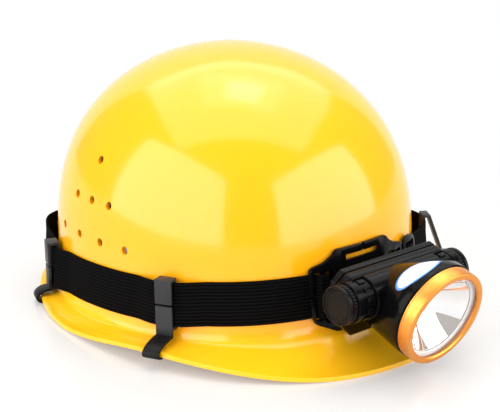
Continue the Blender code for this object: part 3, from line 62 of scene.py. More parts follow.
# shader maths: a socket that takes part in Python expressions
class Wire:
    def __init__(self, tree, socket=None):
        self.tree = tree
        self.socket = socket

    def node(self, kind, settings, values, output=0):
        made = self.tree.nodes.new("ShaderNode" + kind)
        for key, value in settings.items():
            if key == "stops":
                ramp = made.color_ramp.elements
                while len(ramp) < len(value):
                    ramp.new(0.5)
                for stop, (position, colour) in zip(ramp, value):
                    stop.position = position
                    stop.color = (*colour, 1.0)
            else:
                setattr(made, key, value)
        for key, value in values.items():
            if isinstance(value, Wire):
                self.tree.links.new(value.socket, made.inputs[key])
            else:
                made.inputs[key].default_value = value
        return Wire(self.tree, made.outputs[output])

    def maths(self, operation, first, second=0.0):
        return self.node("Math", {"operation": operation}, {0: first, 1: second})

    def __add__(self, other):
        return self.maths("ADD", self, other)

    def __radd__(self, other):
        return self.maths("ADD", other, self)

    def __sub__(self, other):
        return self.maths("SUBTRACT", self, other)

    def __rsub__(self, other):
        return self.maths("SUBTRACT", other, self)

    def __mul__(self, other):
        return self.maths("MULTIPLY", self, other)

    def __rmul__(self, other):
        return self.maths("MULTIPLY", other, self)


class Finish:
    # a material with its shader, its Object coordinates and the patterns most pieces share
    def __init__(self, name, colour, roughness, metallic=0.0, **fixed):
        self.material = bpy.data.materials.new(name)
        self.material.use_nodes = True
        self.material.diffuse_color = (*colour, 1.0)
        self.tree = self.material.node_tree
        self.shader = self.tree.nodes["Principled BSDF"]
        self.start = Wire(self.tree)
        self.place = self.start.node("TexCoord", {}, {}, "Object")
        self.set("Base Color", (*colour, 1.0))
        self.set("Roughness", roughness)
        self.set("Metallic", metallic)
        for key, value in fixed.items():
            self.set(key.replace("_", " "), value)

    def set(self, key, value):
        if isinstance(value, Wire):
            self.tree.links.new(value.socket, self.shader.inputs[key])
        else:
            self.shader.inputs[key].default_value = value

    def noise(self, scale, detail=2.0, stretch=(1, 1, 1)):
        spot = self.start.node("Mapping", {}, {"Vector": self.place, "Scale": stretch})
        return self.start.node("TexNoise", {}, {"Vector": spot, "Scale": scale, "Detail": detail})

    def mix(self, factor, first, second):
        return self.start.node("Mix", {"data_type": "RGBA"},
                               {0: factor, 6: (*first, 1.0), 7: (*second, 1.0)}, 2)

    def ramp(self, factor, stops):
        return self.start.node("ValToRGB", {"stops": stops}, {"Fac": factor})

    def gloss(self, pattern, span, roughness):
        # roughness that wanders either side of its middle value
        self.set("Roughness", pattern * span + (roughness - span / 2))

    def bump(self, height, strength, distance):
        self.set("Normal", self.start.node("Bump", {},
                                           {"Height": height, "Strength": strength, "Distance": distance}))

    def below(self, top, foot):
        # nothing above one height and all below another
        height = self.start.node("SeparateXYZ", {}, {"Vector": self.place}, 2)
        return self.start.node("MapRange", {"interpolation_type": "SMOOTHSTEP"},
                               {"Value": height, "From Min": top, "From Max": foot})


def shade(colour, factor):
    return tuple(min(1.0, channel * factor) for channel in colour)


def mouldSkin(finish, roughness):
    # the uneven gloss and fine grain that a mould leaves
    finish.gloss(finish.noise(90.0, 4.0), 0.16, roughness)
    finish.bump(finish.noise(1400.0), 0.5, 0.00002)


def moulded(name, colour, roughness, **fixed):
    # moulded plastic with a slight drift of colour
    finish = Finish(name, colour, roughness, **fixed)
    finish.set("Base Color", finish.mix(finish.noise(35.0), shade(colour, 0.82), shade(colour, 1.2)))
    mouldSkin(finish, roughness)
    return finish.material


def metal(name, colour, roughness, stretch=(1, 1, 1)):
    # drawn or turned metal: fine marks that scatter the gloss
    finish = Finish(name, colour, roughness, 1.0)
    marks = finish.noise(900.0, 3.0, stretch)
    finish.set("Base Color", finish.mix(finish.noise(60.0), shade(colour, 0.9), shade(colour, 1.06)))
    finish.gloss(marks, 0.14, roughness)
    finish.bump(marks, 0.4, 0.000004)
    return finish.material


shellLook = {
    "colour": (0.985, 0.530, 0.011),
    "deep": (0.960, 0.405, 0.006),
    "brimTop": 0.020,
    "brimFoot": 0.006,
    "roughness": 0.17,
    "glow": 0.15,
    "glowDepth": 0.0030,
    "glowReach": (1.0, 0.55, 0.08),
    "coatRoughness": 0.06,
}


def shellFinish():
    # glossy yellow plastic, a little translucent, with a faint ripple from the mould
    finish = Finish("shellYellow", shellLook["colour"], shellLook["roughness"], IOR=1.45,
                    Subsurface_Weight=shellLook["glow"], Subsurface_Scale=shellLook["glowDepth"],
                    Subsurface_Radius=shellLook["glowReach"], Coat_Roughness=shellLook["coatRoughness"])
    # painted light: from brimTop down to brimFoot the colour turns from the darker deep tone to the paler
    # colour, brightening the brim that the dome shades
    paintedBrimLight = finish.below(shellLook["brimTop"], shellLook["brimFoot"])
    finish.set("Base Color", finish.mix(finish.noise(9.0) * 0.25 + paintedBrimLight * 0.75, shellLook["deep"],
                                        shellLook["colour"]))
    finish.gloss(finish.noise(25.0, 3.0), 0.08, shellLook["roughness"])
    finish.set("Coat Weight", finish.noise(14.0) * 0.2 + 0.15)
    finish.bump(finish.noise(160.0, 1.0), 0.12, 0.00004)
    return finish.material


webbingLook = {
    "colour": (0.0005, 0.0005, 0.0006),
    "light": (0.0078, 0.0078, 0.0086),
    "yarn": 0.0011,
    "rib": 0.00192,
}


def webbingFinish(name, colour, light):
    # woven elastic: short yarns across, lines along, read from the strap's own UV map in metres
    finish = Finish(name, colour, 0.82, Specular_IOR_Level=0.04)
    start = finish.start
    uv = start.node("UVMap", {"uv_map": "weave"}, {})
    along = start.node("SeparateXYZ", {}, {"Vector": uv})
    across = Wire(finish.tree, along.socket.node.outputs[1])
    yarn = webbingLook["yarn"]
    rows = across.maths("SINE", across * (2 * math.pi / yarn))
    picks = along.maths("SINE", along * (2 * math.pi / (yarn * 0.6)) + rows * 1.5)
    fuzz = finish.noise(2600.0, 3.0)
    height = rows * 0.5 + picks * 0.35 + fuzz * 0.5
    ribs = across.maths("COSINE", across * (2 * math.pi / webbingLook["rib"]))
    finish.set("Base Color", finish.mix(ribs * 0.3 + height * 0.2 + 0.2, colour, light))
    finish.set("Roughness", fuzz * 0.2 + 0.72)
    finish.bump(height, 0.7, 0.00012)
    return finish.material


def foamFinish():
    # open foam: fine pores and a soft matt face
    finish = Finish("foamBlack", (0.03, 0.03, 0.032), 0.95, Sheen_Weight=0.2)
    pores = finish.start.node("TexVoronoi", {}, {"Vector": finish.place, "Scale": 1500.0},
                              "Distance")
    finish.set("Base Color", finish.mix(pores, (0.012, 0.012, 0.013), (0.06, 0.06, 0.062)))
    finish.set("Roughness", pores * 0.15 + 0.8)
    finish.bump(pores, 0.8, 0.0002)
    return finish.material


bezelLook = {
    "colour": (0.80, 0.290, 0.048),
    "pale": (0.83, 0.345, 0.075),
    "roughness": 0.34,
}


def bezelFinish():
    # copper-gold anodising over turned metal
    finish = Finish("bezelGold", bezelLook["colour"], bezelLook["roughness"], 1.0)
    finish.set("Base Color", finish.mix(finish.noise(55.0), bezelLook["colour"], bezelLook["pale"]))
    finish.gloss(finish.noise(700.0), 0.08, bezelLook["roughness"])
    finish.bump(finish.noise(1200.0), 0.25, 0.000006)
    return finish.material


def polished(name, colour, metallic, scale, span, roughness, **fixed):
    # a bright face with only a trace of haze
    finish = Finish(name, colour, roughness, metallic, **fixed)
    finish.gloss(finish.noise(scale), span, roughness)
    return finish.material


clipLook = {
    "colour": (0.034, 0.034, 0.037),
    "hookShadeColour": (0.003, 0.003, 0.0035),
    "hookTop": 0.0190,
    "hookFoot": 0.0130,
    "roughness": 0.42,
}


def clipFinish():
    # grey moulded plastic, with painted shade darkening it towards the hook
    finish = Finish("clipPlastic", clipLook["colour"], clipLook["roughness"], Specular_IOR_Level=0.14)
    # painted shade: below hookTop the colour darkens down to hookFoot, where the hook sits under the brim's
    # edge
    hook = finish.below(clipLook["hookTop"], clipLook["hookFoot"])
    finish.set("Base Color", finish.mix(hook * 0.9 + finish.noise(60.0) * 0.1, clipLook["colour"],
                                        clipLook["hookShadeColour"]))
    mouldSkin(finish, clipLook["roughness"])
    return finish.material


finishes = {
    "shell": shellFinish(),
    "black": moulded("blackPlastic", (0.0025, 0.0025, 0.0030), 0.17, Specular_IOR_Level=0.09),
    "knob": moulded("knobPlastic", (0.0032, 0.0030, 0.0032), 0.30, Specular_IOR_Level=0.14),
    "clip": clipFinish(),
    "harness": moulded("harnessPlastic", (0.70, 0.70, 0.68), 0.50),
    "webbing": webbingFinish("webbingBlack", webbingLook["colour"], webbingLook["light"]),
    "crown": webbingFinish("crownWebbing", (0.05, 0.05, 0.055), (0.11, 0.11, 0.115)),
    "foam": foamFinish(),
    "bezel": bezelFinish(),
    "lens": polished("lensClear", (1.0, 1.0, 1.0), 0.0, 40.0, 0.02, 0.03, IOR=1.5, Alpha=0.07),
    "chrome": polished("reflectorChrome", (0.93, 0.93, 0.94), 1.0, 80.0, 0.03, 0.035),
    "rubber": moulded("gasketWhite", (0.85, 0.85, 0.84), 0.55),
    "steel": metal("platedSteel", (0.62, 0.62, 0.64), 0.30, (1, 1, 8)),
    "brass": metal("bareBrass", (0.80, 0.58, 0.24), 0.28),
    "aluminium": metal("turnedAluminium", (0.76, 0.77, 0.79), 0.34),
    "boardGreen": moulded("boardGreen", (0.03, 0.22, 0.08), 0.42),
    "boardWhite": moulded("boardWhite", (0.84, 0.85, 0.83), 0.42),
    "phosphor": moulded("phosphorDome", (0.90, 0.76, 0.16), 0.25),
    "wrap": moulded("cellWrap", (0.10, 0.25, 0.55), 0.32),
}
print("finishes made:", len(finishes))


# mesh helpers
def spun(axis, degrees):
    return Matrix.Rotation(math.radians(degrees), 4, axis)


def helper(name, bm):
    # a plain object from a mesh in the making
    mesh = bpy.data.meshes.new(name)
    bm.to_mesh(mesh)
    bm.free()
    made = bpy.data.objects.new(name, mesh)
    scene.collection.objects.link(made)
    return made


def shaded(made, angle):
    # smooth faces with a crease where they meet at more than an angle
    made.data.shade_smooth()
    made.data.set_sharp_from_angle(angle=math.radians(angle))


def piece(name, bm, body, finish, nodes=(), smooth=40.0):
    # a finished piece: its material, its shading, the body it rides and the nodes it stands for
    made = helper(name, bm)
    made.data.materials.append(finishes[finish])
    shaded(made, smooth)
    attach(made, body)
    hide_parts(*nodes)
    return made


def mapped(bm, name, spots):
    # a UV map with one place for each vertex
    layer = bm.loops.layers.uv.new(name)
    for face in bm.faces:
        for loop in face.loops:
            loop[layer].uv = spots[loop.vert]


def sharpEdges(bm, angle=30.0):
    limit = math.radians(angle)
    return [edge for edge in bm.edges if len(edge.link_faces) == 2 and edge.calc_face_angle(0.0) > limit]


def soften(bm, width, segments=2, angle=30.0):
    # small rounds on every sharp edge, so that it catches the light
    bmesh.ops.bevel(bm, geom=sharpEdges(bm, angle), offset=width, offset_type="OFFSET", segments=segments,
                    profile=0.5, affect="EDGES", material=-1, clamp_overlap=True)


merging = {
    "weld": 0.000002,
    "copyWeld": 0.000005,
    "flat": 0.5,
}


def lathe(profile, place, steps=96, closed=False):
    # profile of (radius, height) spun about Z, then put in its place
    bm = bmesh.new()
    line = [bm.verts.new((radius, 0, height)) for radius, height in profile]
    ring = [bm.edges.new(pair) for pair in zip(line, line[1:])]
    if closed:
        ring.append(bm.edges.new((line[-1], line[0])))
    bmesh.ops.spin(bm, geom=line + ring, cent=(0, 0, 0), axis=(0, 0, 1), angle=2 * math.pi, steps=steps,
                   use_merge=True)
    bmesh.ops.remove_doubles(bm, verts=bm.verts, dist=merging["weld"])
    bmesh.ops.recalc_face_normals(bm, faces=bm.faces)
    bm.transform(place)
    return bm


def copied(node):
    # a merged copy of a CAD node, with its flat faces made whole again
    bm = bmesh.new()
    bm.from_mesh(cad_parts[node].data)
    bmesh.ops.remove_doubles(bm, verts=bm.verts, dist=merging["copyWeld"])
    bmesh.ops.dissolve_limit(bm, angle_limit=math.radians(merging["flat"]), verts=bm.verts, edges=bm.edges)
    return bm


def carve(made, cutter):
    cut = made.modifiers.new("cut", "BOOLEAN")
    cut.object = cutter
    cut.operation = "DIFFERENCE"
    cut.solver = "EXACT"


def rod(bm, radius, length, place, segments):
    # a closed cylinder along X
    bmesh.ops.create_cone(bm, cap_ends=True, segments=segments, radius1=radius, radius2=radius, depth=length,
                          matrix=place @ spun("Y", 90))


def settle(made, *helpers):
    # bake an object's modifiers into its mesh and drop the helpers they used
    depsgraph = bpy.context.evaluated_depsgraph_get()
    mesh = bpy.data.meshes.new_from_object(made.evaluated_get(depsgraph), preserve_all_data_layers=True,
                                           depsgraph=depsgraph)
    made.modifiers.clear()
    made.data = mesh
    for spent in helpers:
        bpy.data.objects.remove(spent, do_unlink=True)


# the cap's own shape, in metres from the dome's middle
cap = {
    "halfWidth": 0.1000,
    "halfLength": 0.1080,
    "height": 0.1572,
    "wall": 0.0024,
    "planPower": 2.2,
    "crownPower": 2.41,
    "crownStart": 0.0406,
    "flare": 0.03,
    "brimRoot": 0.0130,
    "brimHalf": 0.1180,
    "visor": 0.1460,
    "rear": 0.1184,
    "rearPower": 2.0,
    "arches": ((17.0, 0.0), (69.5, 0.0074), (95.5, 0.0006), (146.0, 0.0052), (168.0, 0.0)),
    "pitch": 2.0,
    "filletPower": 1.5,
    "lip": 0.0030,
}
pitch = math.radians(cap["pitch"])


def signedPower(value, power):
    return math.copysign(abs(value) ** power, value)


def easeStep(share):
    share = min(1.0, max(0.0, share))
    return share * share * (3 - 2 * share)


def rounded(share, start, least):
    # how full a section stays towards its two ends
    past = max(0.0, abs(share) - start) / (1 - start)
    return math.sqrt(max(least, 1 - past * past))


def aside(turn):
    # degrees from the front, on either side
    return math.degrees(abs(math.remainder(turn, 2 * math.pi)))


def planPoint(turn, half, front, rear, rearPower=cap["planPower"]):
    ahead = math.cos(turn)
    reach, power = (front, 2 / cap["planPower"]) if ahead > 0 else (rear, 2 / rearPower)
    return Vector((half * signedPower(math.sin(turn), power), -reach * signedPower(ahead, power), 0))


def wallScale(height):
    start = cap["crownStart"]
    if height < start:
        return 1 + cap["flare"] * (start - height) / start
    share = (height - start) / (cap["height"] - start)
    return math.sqrt(max(0.0, 1 - share ** cap["crownPower"]))


def wallNormal(turn):
    spot = planPoint(turn, 1.0, 1.0, 1.0)
    slope = cap["planPower"] - 1
    return Vector((signedPower(spot.x, slope) / cap["halfWidth"],
                   signedPower(spot.y, slope) / cap["halfLength"], 0)).normalized()


def wallPoint(turn, height, offset=0.0):
    scale = wallScale(height)
    length = cap["halfLength"] * scale
    spot = planPoint(turn, cap["halfWidth"] * scale, length, length)
    return spot + wallNormal(turn) * offset + Vector((0, 0, height))


def brimLift(turn):
    # the edge arches off the floor between the places where it rests
    degrees = aside(turn)
    for (start, low), (end, high) in zip(cap["arches"], cap["arches"][1:]):
        if start < degrees < end:
            return low + (high - low) * easeStep((degrees - start) / (end - start))
    return 0.0


def brimEdge(turn):
    edge = planPoint(turn, cap["brimHalf"], cap["visor"], cap["rear"], cap["rearPower"])
    edge.z = math.tan(pitch) * (edge.y + cap["visor"]) + brimLift(turn) + cap["wall"]
    return edge


level = spun("X", -cap["pitch"])
capFrame = Matrix.Translation((0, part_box("helmet_shell")[1].y - (level @ brimEdge(math.pi)).y,
                               -cap["visor"] * math.sin(pitch))) @ level


shell = {
    "steps": 192,
    "crownRows": 44,
    "wallRows": 8,
    "brimRows": 22,
    "easedRows": (-1, 13),
    "easings": 60,
    "easing": 0.5,
    "rowPower": 1.4,
    "vent": 0.0024,
    "ventMiddle": 0.0092,
    "ventTop": 0.1014,
    "ventDrop": 0.0220,
    "ventRows": ((1, 0.0), (3, 0.0163), (4, 0.0214)),
    "ventLength": 0.3,
    "edge": 0.0006,
    "edgeSegments": 3,
    "edgeAngle": 50.0,
    "sharpAngle": 38.0,
}


def shellPoint(turn, row):
    # rows run from the top of the crown down the wall and out over the brim
    crown, wall, brim = shell["crownRows"], shell["wallRows"], shell["brimRows"]
    if row <= crown:
        rise = max(0.0, math.cos(math.pi / 2 * row / crown)) ** (2 / cap["crownPower"])
        return wallPoint(turn, cap["crownStart"] + (cap["height"] - cap["crownStart"]) * rise)
    if row <= crown + wall:
        share = (row - crown) / wall
        return wallPoint(turn, cap["crownStart"] + (cap["brimRoot"] - cap["crownStart"]) * share)
    root = wallPoint(turn, cap["brimRoot"])
    edge = brimEdge(turn)
    if row > crown + wall + brim:
        return edge
    share = ((row - crown - wall) / brim) ** shell["rowPower"]
    run = Vector((edge.x - root.x, edge.y - root.y, 0))
    run -= run.normalized() * cap["lip"]
    height = edge.z + (root.z - edge.z) * (1 - share) ** cap["filletPower"]
    return Vector((root.x + run.x * share, root.y + run.y * share, height))


def shellSkin():
    # a spun sheet gives the rows and columns, which move to the cap's plan; the hollow at the brim is eased
    root = shell["crownRows"] + shell["wallRows"]
    rows = root + shell["brimRows"] + 1
    bm = lathe([(row, -row) for row in range(rows + 1)], Matrix.Identity(4), shell["steps"])
    start, end = shell["easedRows"]
    eased = []
    for vert in bm.verts:
        row = -round(vert.co.z)
        turn = math.atan2(vert.co.x, -vert.co.y)
        vert.co = capFrame @ shellPoint(turn, row)
        if root + start <= row <= root + end:
            eased.append(vert)
    for _ in range(shell["easings"]):
        bmesh.ops.smooth_vert(bm, verts=eased, factor=shell["easing"], use_axis_x=True, use_axis_y=True,
                              use_axis_z=True)
    bmesh.ops.recalc_face_normals(bm, faces=bm.faces)
    if bm.faces[0].normal.z < 0 and bm.faces[0].calc_center_median().z > cap["crownStart"]:
        bmesh.ops.reverse_faces(bm, faces=bm.faces)
    return bm


def ventCutters():
    bm = bmesh.new()
    for row, (count, spacing) in enumerate(shell["ventRows"]):
        for index in range(count):
            y = shell["ventMiddle"] + spacing * (index - (count - 1) / 2)
            spot = capFrame @ Matrix.Translation((0, y, shell["ventTop"] - shell["ventDrop"] * row))
            rod(bm, shell["vent"], shell["ventLength"], spot, segments=28)
    return helper("ventCutters", bm)


def makeShell():
    made = piece("helmetShell", shellSkin(), "helmet", "shell", ["helmet_shell"])
    wall = made.modifiers.new("wall", "SOLIDIFY")
    wall.thickness = cap["wall"]
    wall.offset = -1.0
    wall.use_even_offset = True
    edge = made.modifiers.new("edge", "BEVEL")
    edge.width = shell["edge"]
    edge.segments = shell["edgeSegments"]
    edge.limit_method = "ANGLE"
    edge.angle_limit = math.radians(shell["edgeAngle"])
    vents = ventCutters()
    carve(made, vents)
    settle(made, vents)
    # the brim stands level on the floor
    for vert in made.data.vertices:
        vert.co.z = max(vert.co.z, 0.0)
    shaded(made, shell["sharpAngle"])


makeShell()
print("shell made")


# the elastic strap, woven through the plate and the slider and over the clips
strap = {
    "width": 0.0250,
    "thickness": 0.0012,
    "gap": 0.0004,
    "seat": 0.0003,
    "middle": 0.0320,
    "pitch": 0.04,
    "rearRise": 0.0055,
    "rearStart": 120.0,
    "rearSpan": 22.0,
    "tail": 0.0150,
    "slot": 0.0048,
    "run": 0.0015,
    "ribs": 13,
    "ribDepth": 0.00011,
    "columns": 78,
    "step": 0.0022,
    "edgeStart": 0.95,
    "edgeLeast": 0.05,
}
holder = {
    "plate": 0.0020,
    "wing": 0.0355,
    "outerBar": 0.0023,
    "middleBar": 0.0024,
    "sliderBar": 0.0030,
    "sliderOuter": 0.0023,
    "slider": 0.0020,
    "sliderSpace": 0.0010,
}
clip = {
    "turns": (-63.0, -116.0, 54.0, 116.0),
    "width": 0.0100,
    "thickness": 0.0016,
    "ramp": 0.0180,
    "pulls": (0.0, 0.0, 0.0045, 0.0),
    "slack": ((-140.0, 0.0085), (140.0, 0.0085)),
    "slackRun": 0.0350,
    "pullRun": 3.0,
}


def strapArcs(samples=1440):
    turns = [2 * math.pi * step / samples for step in range(samples + 1)]
    arcs = [0.0]
    spots = [wallPoint(turn, strap["middle"]) for turn in turns]
    for first, second in zip(spots, spots[1:]):
        arcs.append(arcs[-1] + (second - first).length)
    return turns, arcs


arcTurns, arcLengths = strapArcs()
girth = arcLengths[-1]


def turnAt(distance):
    distance %= girth
    high = min(bisect.bisect_right(arcLengths, distance), len(arcLengths) - 1)
    low = high - 1
    share = (distance - arcLengths[low]) / (arcLengths[high] - arcLengths[low])
    return arcTurns[low] + (arcTurns[high] - arcTurns[low]) * share


def distanceAt(turn):
    share = (turn / (2 * math.pi)) % 1.0 * (len(arcTurns) - 1)
    index = min(int(share), len(arcTurns) - 2)
    return arcLengths[index] + (arcLengths[index + 1] - arcLengths[index]) * (share - index)


def strapHeight(turn):
    # the strap dips towards the back and rides up again behind the rear clips
    rise = strap["rearRise"] * easeStep((aside(turn) - strap["rearStart"]) / strap["rearSpan"])
    return strap["middle"] - strap["pitch"] * wallPoint(turn, strap["middle"]).y + rise


def flare(low, high):
    return (wallScale(low) - wallScale(high)) * cap["halfLength"]


def strapRun():
    # distances and levels the strap keeps, worked out once
    low = strap["gap"] + strap["thickness"] / 2
    hold = strap["gap"] + strap["thickness"] + strap["seat"]
    slotOut = holder["wing"] - holder["outerBar"] - strap["slot"] / 2
    slotIn = slotOut - strap["slot"] - holder["middleBar"]
    sliderHalf = holder["sliderBar"] / 2 + strap["slot"] + holder["sliderOuter"]
    sliderArc = holder["wing"] + holder["sliderSpace"] + sliderHalf
    sliderTurn = turnAt(sliderArc)
    foot = strapHeight(sliderTurn) - strap["width"] / 2
    slope = flare(foot, foot + strap["width"]) / strap["width"]
    stand = flare(foot, foot + strap["width"] / 2) - slope * strap["width"] / 2
    over = strap["seat"] + strap["thickness"] / 2
    lifts = []
    for degrees, pull in zip(clip["turns"], clip["pulls"]):
        turn = math.radians(degrees)
        top = strapHeight(turn) + strap["width"] / 2
        slope = strap["pitch"] * clip["width"] / 2
        under = top - strap["width"] - slope - strap["seat"] - clip["thickness"] / 2
        sag = clip["width"] ** 2 / (8 * cap["halfWidth"])
        lift = clip["thickness"] + strap["seat"] + 2 * sag + flare(under, top) + pull
        ramp = clip["ramp"] + clip["pullRun"] * pull
        lifts.append((distanceAt(turn), lift, clip["width"] / 2 + strap["seat"], ramp))
    for degrees, lift in clip["slack"]:
        lifts.append((distanceAt(math.radians(degrees)), lift, 0.0, clip["slackRun"]))
    return {"low": low, "plateHigh": hold + holder["plate"] + over, "slotOut": slotOut, "slotIn": slotIn,
            "sliderArc": sliderArc, "sliderSlot": (holder["sliderBar"] + strap["slot"]) / 2,
            "sliderHigh": hold + stand + holder["slider"] + over, "lifts": lifts}


run = strapRun()


def strapOffset(distance):
    fromFront = min(distance, girth - distance)
    low, weave = run["low"], strap["run"]
    for slot, inwards in ((run["slotIn"], 1.0), (run["slotOut"], -1.0)):
        if abs(fromFront - slot) <= weave:
            return low + (run["plateHigh"] - low) * (0.5 + inwards * (fromFront - slot) / weave / 2)
    if run["slotIn"] < fromFront < run["slotOut"]:
        return run["plateHigh"]
    fromSlider = abs(distance - run["sliderArc"])
    if fromSlider < run["sliderSlot"] + weave:
        share = min(1.0, (run["sliderSlot"] + weave - fromSlider) / weave / 2)
        return low + (run["sliderHigh"] - low) * share
    lifts = [raised * (1 - easeStep((abs(distance - spot) - flat) / ramp))
             for spot, raised, flat, ramp in run["lifts"]]
    return low + max(lifts)


def strapStations():
    stops = [strap["tail"], girth - strap["tail"]]
    for slot in (run["slotIn"], run["slotOut"]):
        for side in (-strap["run"], strap["run"]):
            stops += [slot + side, girth - slot - side]
    for slot in (-run["sliderSlot"], run["sliderSlot"]):
        stops += [run["sliderArc"] + slot - strap["run"], run["sliderArc"] + slot + strap["run"]]
    stops.sort()
    stations = [stops[0]]
    for stop in stops[1:]:
        count = max(1, math.ceil((stop - stations[-1]) / strap["step"]))
        start = stations[-1]
        stations += [start + (stop - start) * step / count for step in range(1, count + 1)]
    return stations


def strapSpot(distance, share, face):
    # share runs up the strap's width from -1 to 1, and face picks its outer or inner side
    turn = turnAt(distance)
    height = strapHeight(turn) + share * strap["width"] / 2
    rib = strap["ribDepth"] * (math.cos(math.pi * share * strap["ribs"]) - 1)
    half = strap["thickness"] / 2 * rounded(share, strap["edgeStart"], strap["edgeLeast"]) + rib
    return capFrame @ wallPoint(turn, height, strapOffset(distance) + face * half)


def sweep(sections, spans=None):
    # a closed section extruded from station to station; spans holds each corner's place along and across
    bm = bmesh.new()
    ring = bmesh.ops.create_circle(bm, segments=len(sections[0]), radius=1.0)["verts"]
    edges = list(bm.edges)
    ends = [edges]
    rings = [ring]
    for _ in sections[1:]:
        made = bmesh.ops.extrude_edge_only(bm, edges=edges)["geom"]
        fresh = {item for item in made if isinstance(item, bmesh.types.BMVert)}
        edges = [item for item in made if isinstance(item, bmesh.types.BMEdge) and set(item.verts) <= fresh]
        ring = [next(edge.other_vert(vert) for edge in vert.link_edges if edge.other_vert(vert) in fresh)
                for vert in ring]
        rings.append(ring)
    for edges in ends + [edges]:
        bmesh.ops.edgeloop_fill(bm, edges=edges)
    for ring, section in zip(rings, sections):
        for vert, spot in zip(ring, section):
            vert.co = spot
    bmesh.ops.recalc_face_normals(bm, faces=bm.faces)
    if spans:
        mapped(bm, "weave", {vert: span for ring, row in zip(rings, spans) for vert, span in zip(ring, row)})
    return bm


def strapSection(distance):
    columns = strap["columns"]
    shares = [2 * step / columns - 1 for step in range(columns + 1)]
    corners = [(share, 1) for share in shares] + [(share, -1) for share in reversed(shares)]
    spots = [strapSpot(distance, share, face) for share, face in corners]
    return spots, [(distance, share * strap["width"] / 2) for share, face in corners]


def makeStrap():
    rows = [strapSection(distance) for distance in strapStations()]
    bm = sweep([spots for spots, spans in rows], [spans for spots, spans in rows])
    piece("headStrap", bm, "helmet", "webbing", ["head_strap"], smooth=50.0)


makeStrap()
print("strap made")


# plate, slider, clips and harness: merged copies of the CAD nodes with rounded edges
trim = {
    "mount_plate": ("mountPlate", "black", 0.00040),
    "strap_slider": ("strapSlider", "black", 0.00045),
    "clip_front_right": ("clipFrontRight", "clip", 0.00035),
    "clip_rear_left": ("clipRearLeft", "clip", 0.00035),
    "clip_rear_right": ("clipRearRight", "clip", 0.00035),
    "headband": ("headbandStrip", "harness", 0.00040),
    "nape_band": ("napeBand", "harness", 0.00040),
    "harness_key_front_left": ("keyFrontLeft", "harness", 0.00040),
    "harness_key_front_right": ("keyFrontRight", "harness", 0.00040),
    "harness_key_rear_left": ("keyRearLeft", "harness", 0.00040),
    "harness_key_rear_right": ("keyRearRight", "harness", 0.00040),
    "size_stud_left": ("sizeStudLeft", "harness", 0.00025),
    "size_stud_right": ("sizeStudRight", "harness", 0.00025),
}
for node, (name, finish, width) in trim.items():
    bm = copied(node)
    soften(bm, width)
    piece(name, bm, "helmet", finish, [node], smooth=35.0)
print("trim made:", len(trim))


# the front left clip, drawn out straight from the strap to the brim's edge
lean = {
    "index": 2,
    "toe": 0.0040,
    "bulge": 0.0026,
    "play": 0.0003,
    "hookSteps": 10,
    "hookStart": 0.55,
    "edge": 0.00035,
    "farthest": 0.08,
    "halvings": 40,
    "mitre": 0.5,
}


def brimReach(spot, out):
    # how far the brim's edge lies from a point, and the turn where it is met
    half, visor, power = cap["brimHalf"], cap["visor"], cap["planPower"]
    near, far = 0.0, lean["farthest"]
    for _ in range(lean["halvings"]):
        middle = (near + far) / 2
        at = spot + out * middle
        inside = abs(at.x / half) ** power + abs(at.y / visor) ** power < 1
        near, far = (middle, far) if inside else (near, middle)
    at = spot + out * near
    return near, math.atan2(signedPower(at.x / half, power / 2), signedPower(-at.y / visor, power / 2))


def stripOutline(path, thickness):
    # outline of a bent strip about its middle line, with mitred bends
    sides = ([], [])
    for index, spot in enumerate(path):
        before = (spot - path[index - 1]).normalized() if index else (path[1] - spot).normalized()
        after = (path[index + 1] - spot).normalized() if index + 1 < len(path) else before
        tangent = (before + after).normalized()
        normal = Vector((-tangent.y, tangent.x))
        reach = thickness / 2 / max(lean["mitre"], tangent.dot(before))
        sides[0].append(spot + normal * reach)
        sides[1].append(spot - normal * reach)
    return sides[0] + sides[1][::-1]


def makeLeaningClip():
    turn = math.radians(clip["turns"][lean["index"]])
    half = clip["thickness"] / 2
    middle = strapHeight(turn)
    over = middle + strap["width"] / 2 + strap["pitch"] * clip["width"] / 2 + strap["seat"] + half
    under = 2 * middle - over
    spot = wallPoint(turn, under)
    out = wallNormal(turn)
    edge, edgeTurn = brimReach(spot, out)
    lip = brimEdge(edgeTurn).z
    lift = run["lifts"][lean["index"]][1]
    inner = strap["gap"] + lift - strap["seat"] - half
    face = strap["gap"] + lift + strap["thickness"] + strap["seat"] + half
    drop = cap["wall"] / 2 + lean["play"] + half
    tip = edge + lean["bulge"]
    hook = lip - cap["wall"] / 2
    path = [Vector(pair) for pair in ((inner, under), (inner, over), (face, over))]
    for step in range(lean["hookSteps"] + 1):
        angle = math.pi / 2 * (lean["hookStart"] - (1 + lean["hookStart"]) * step / lean["hookSteps"])
        path.append(Vector((tip - lean["toe"] * (1 - math.cos(angle)), hook + drop * math.sin(angle))))
    along = out.cross(Vector((0, 0, 1)))
    sections = []
    for side in (-0.5, 0.5):
        base = Vector((spot.x, spot.y, 0)) + along * (side * clip["width"])
        sections.append([capFrame @ (base + out * away + Vector((0, 0, height)))
                         for away, height in stripOutline(path, clip["thickness"])])
    bm = sweep(sections)
    soften(bm, lean["edge"])
    piece("clipFrontLeft", bm, "helmet", "clip", ["clip_front_left"], smooth=35.0)


makeLeaningClip()
print("leaning clip made")


# soft pieces of the harness
soft = {
    "bandHalf": (0.0800, 0.0970),
    "bandThickness": 0.0018,
    "sweatThickness": 0.0026,
    "sweatHeight": 0.0350,
    "sweatMiddle": 0.0300,
    "sweatTurn": 62.0,
    "sweatSteps": 84,
    "padThickness": 0.0012,
    "padHalf": 0.0125,
    "padHeight": 0.0240,
    "padMiddle": 0.0380,
    "padSteps": 18,
    "corners": 36,
    "depthPower": 0.8,
    "heightPower": 0.42,
    "rollStart": 0.93,
    "rollLeast": 0.06,
    "crownTurn": 45.0,
    "crownCuts": 11,
    "crownEdge": 0.0004,
    "rungLength": 0.01,
    "rungSlant": 0.99,
}


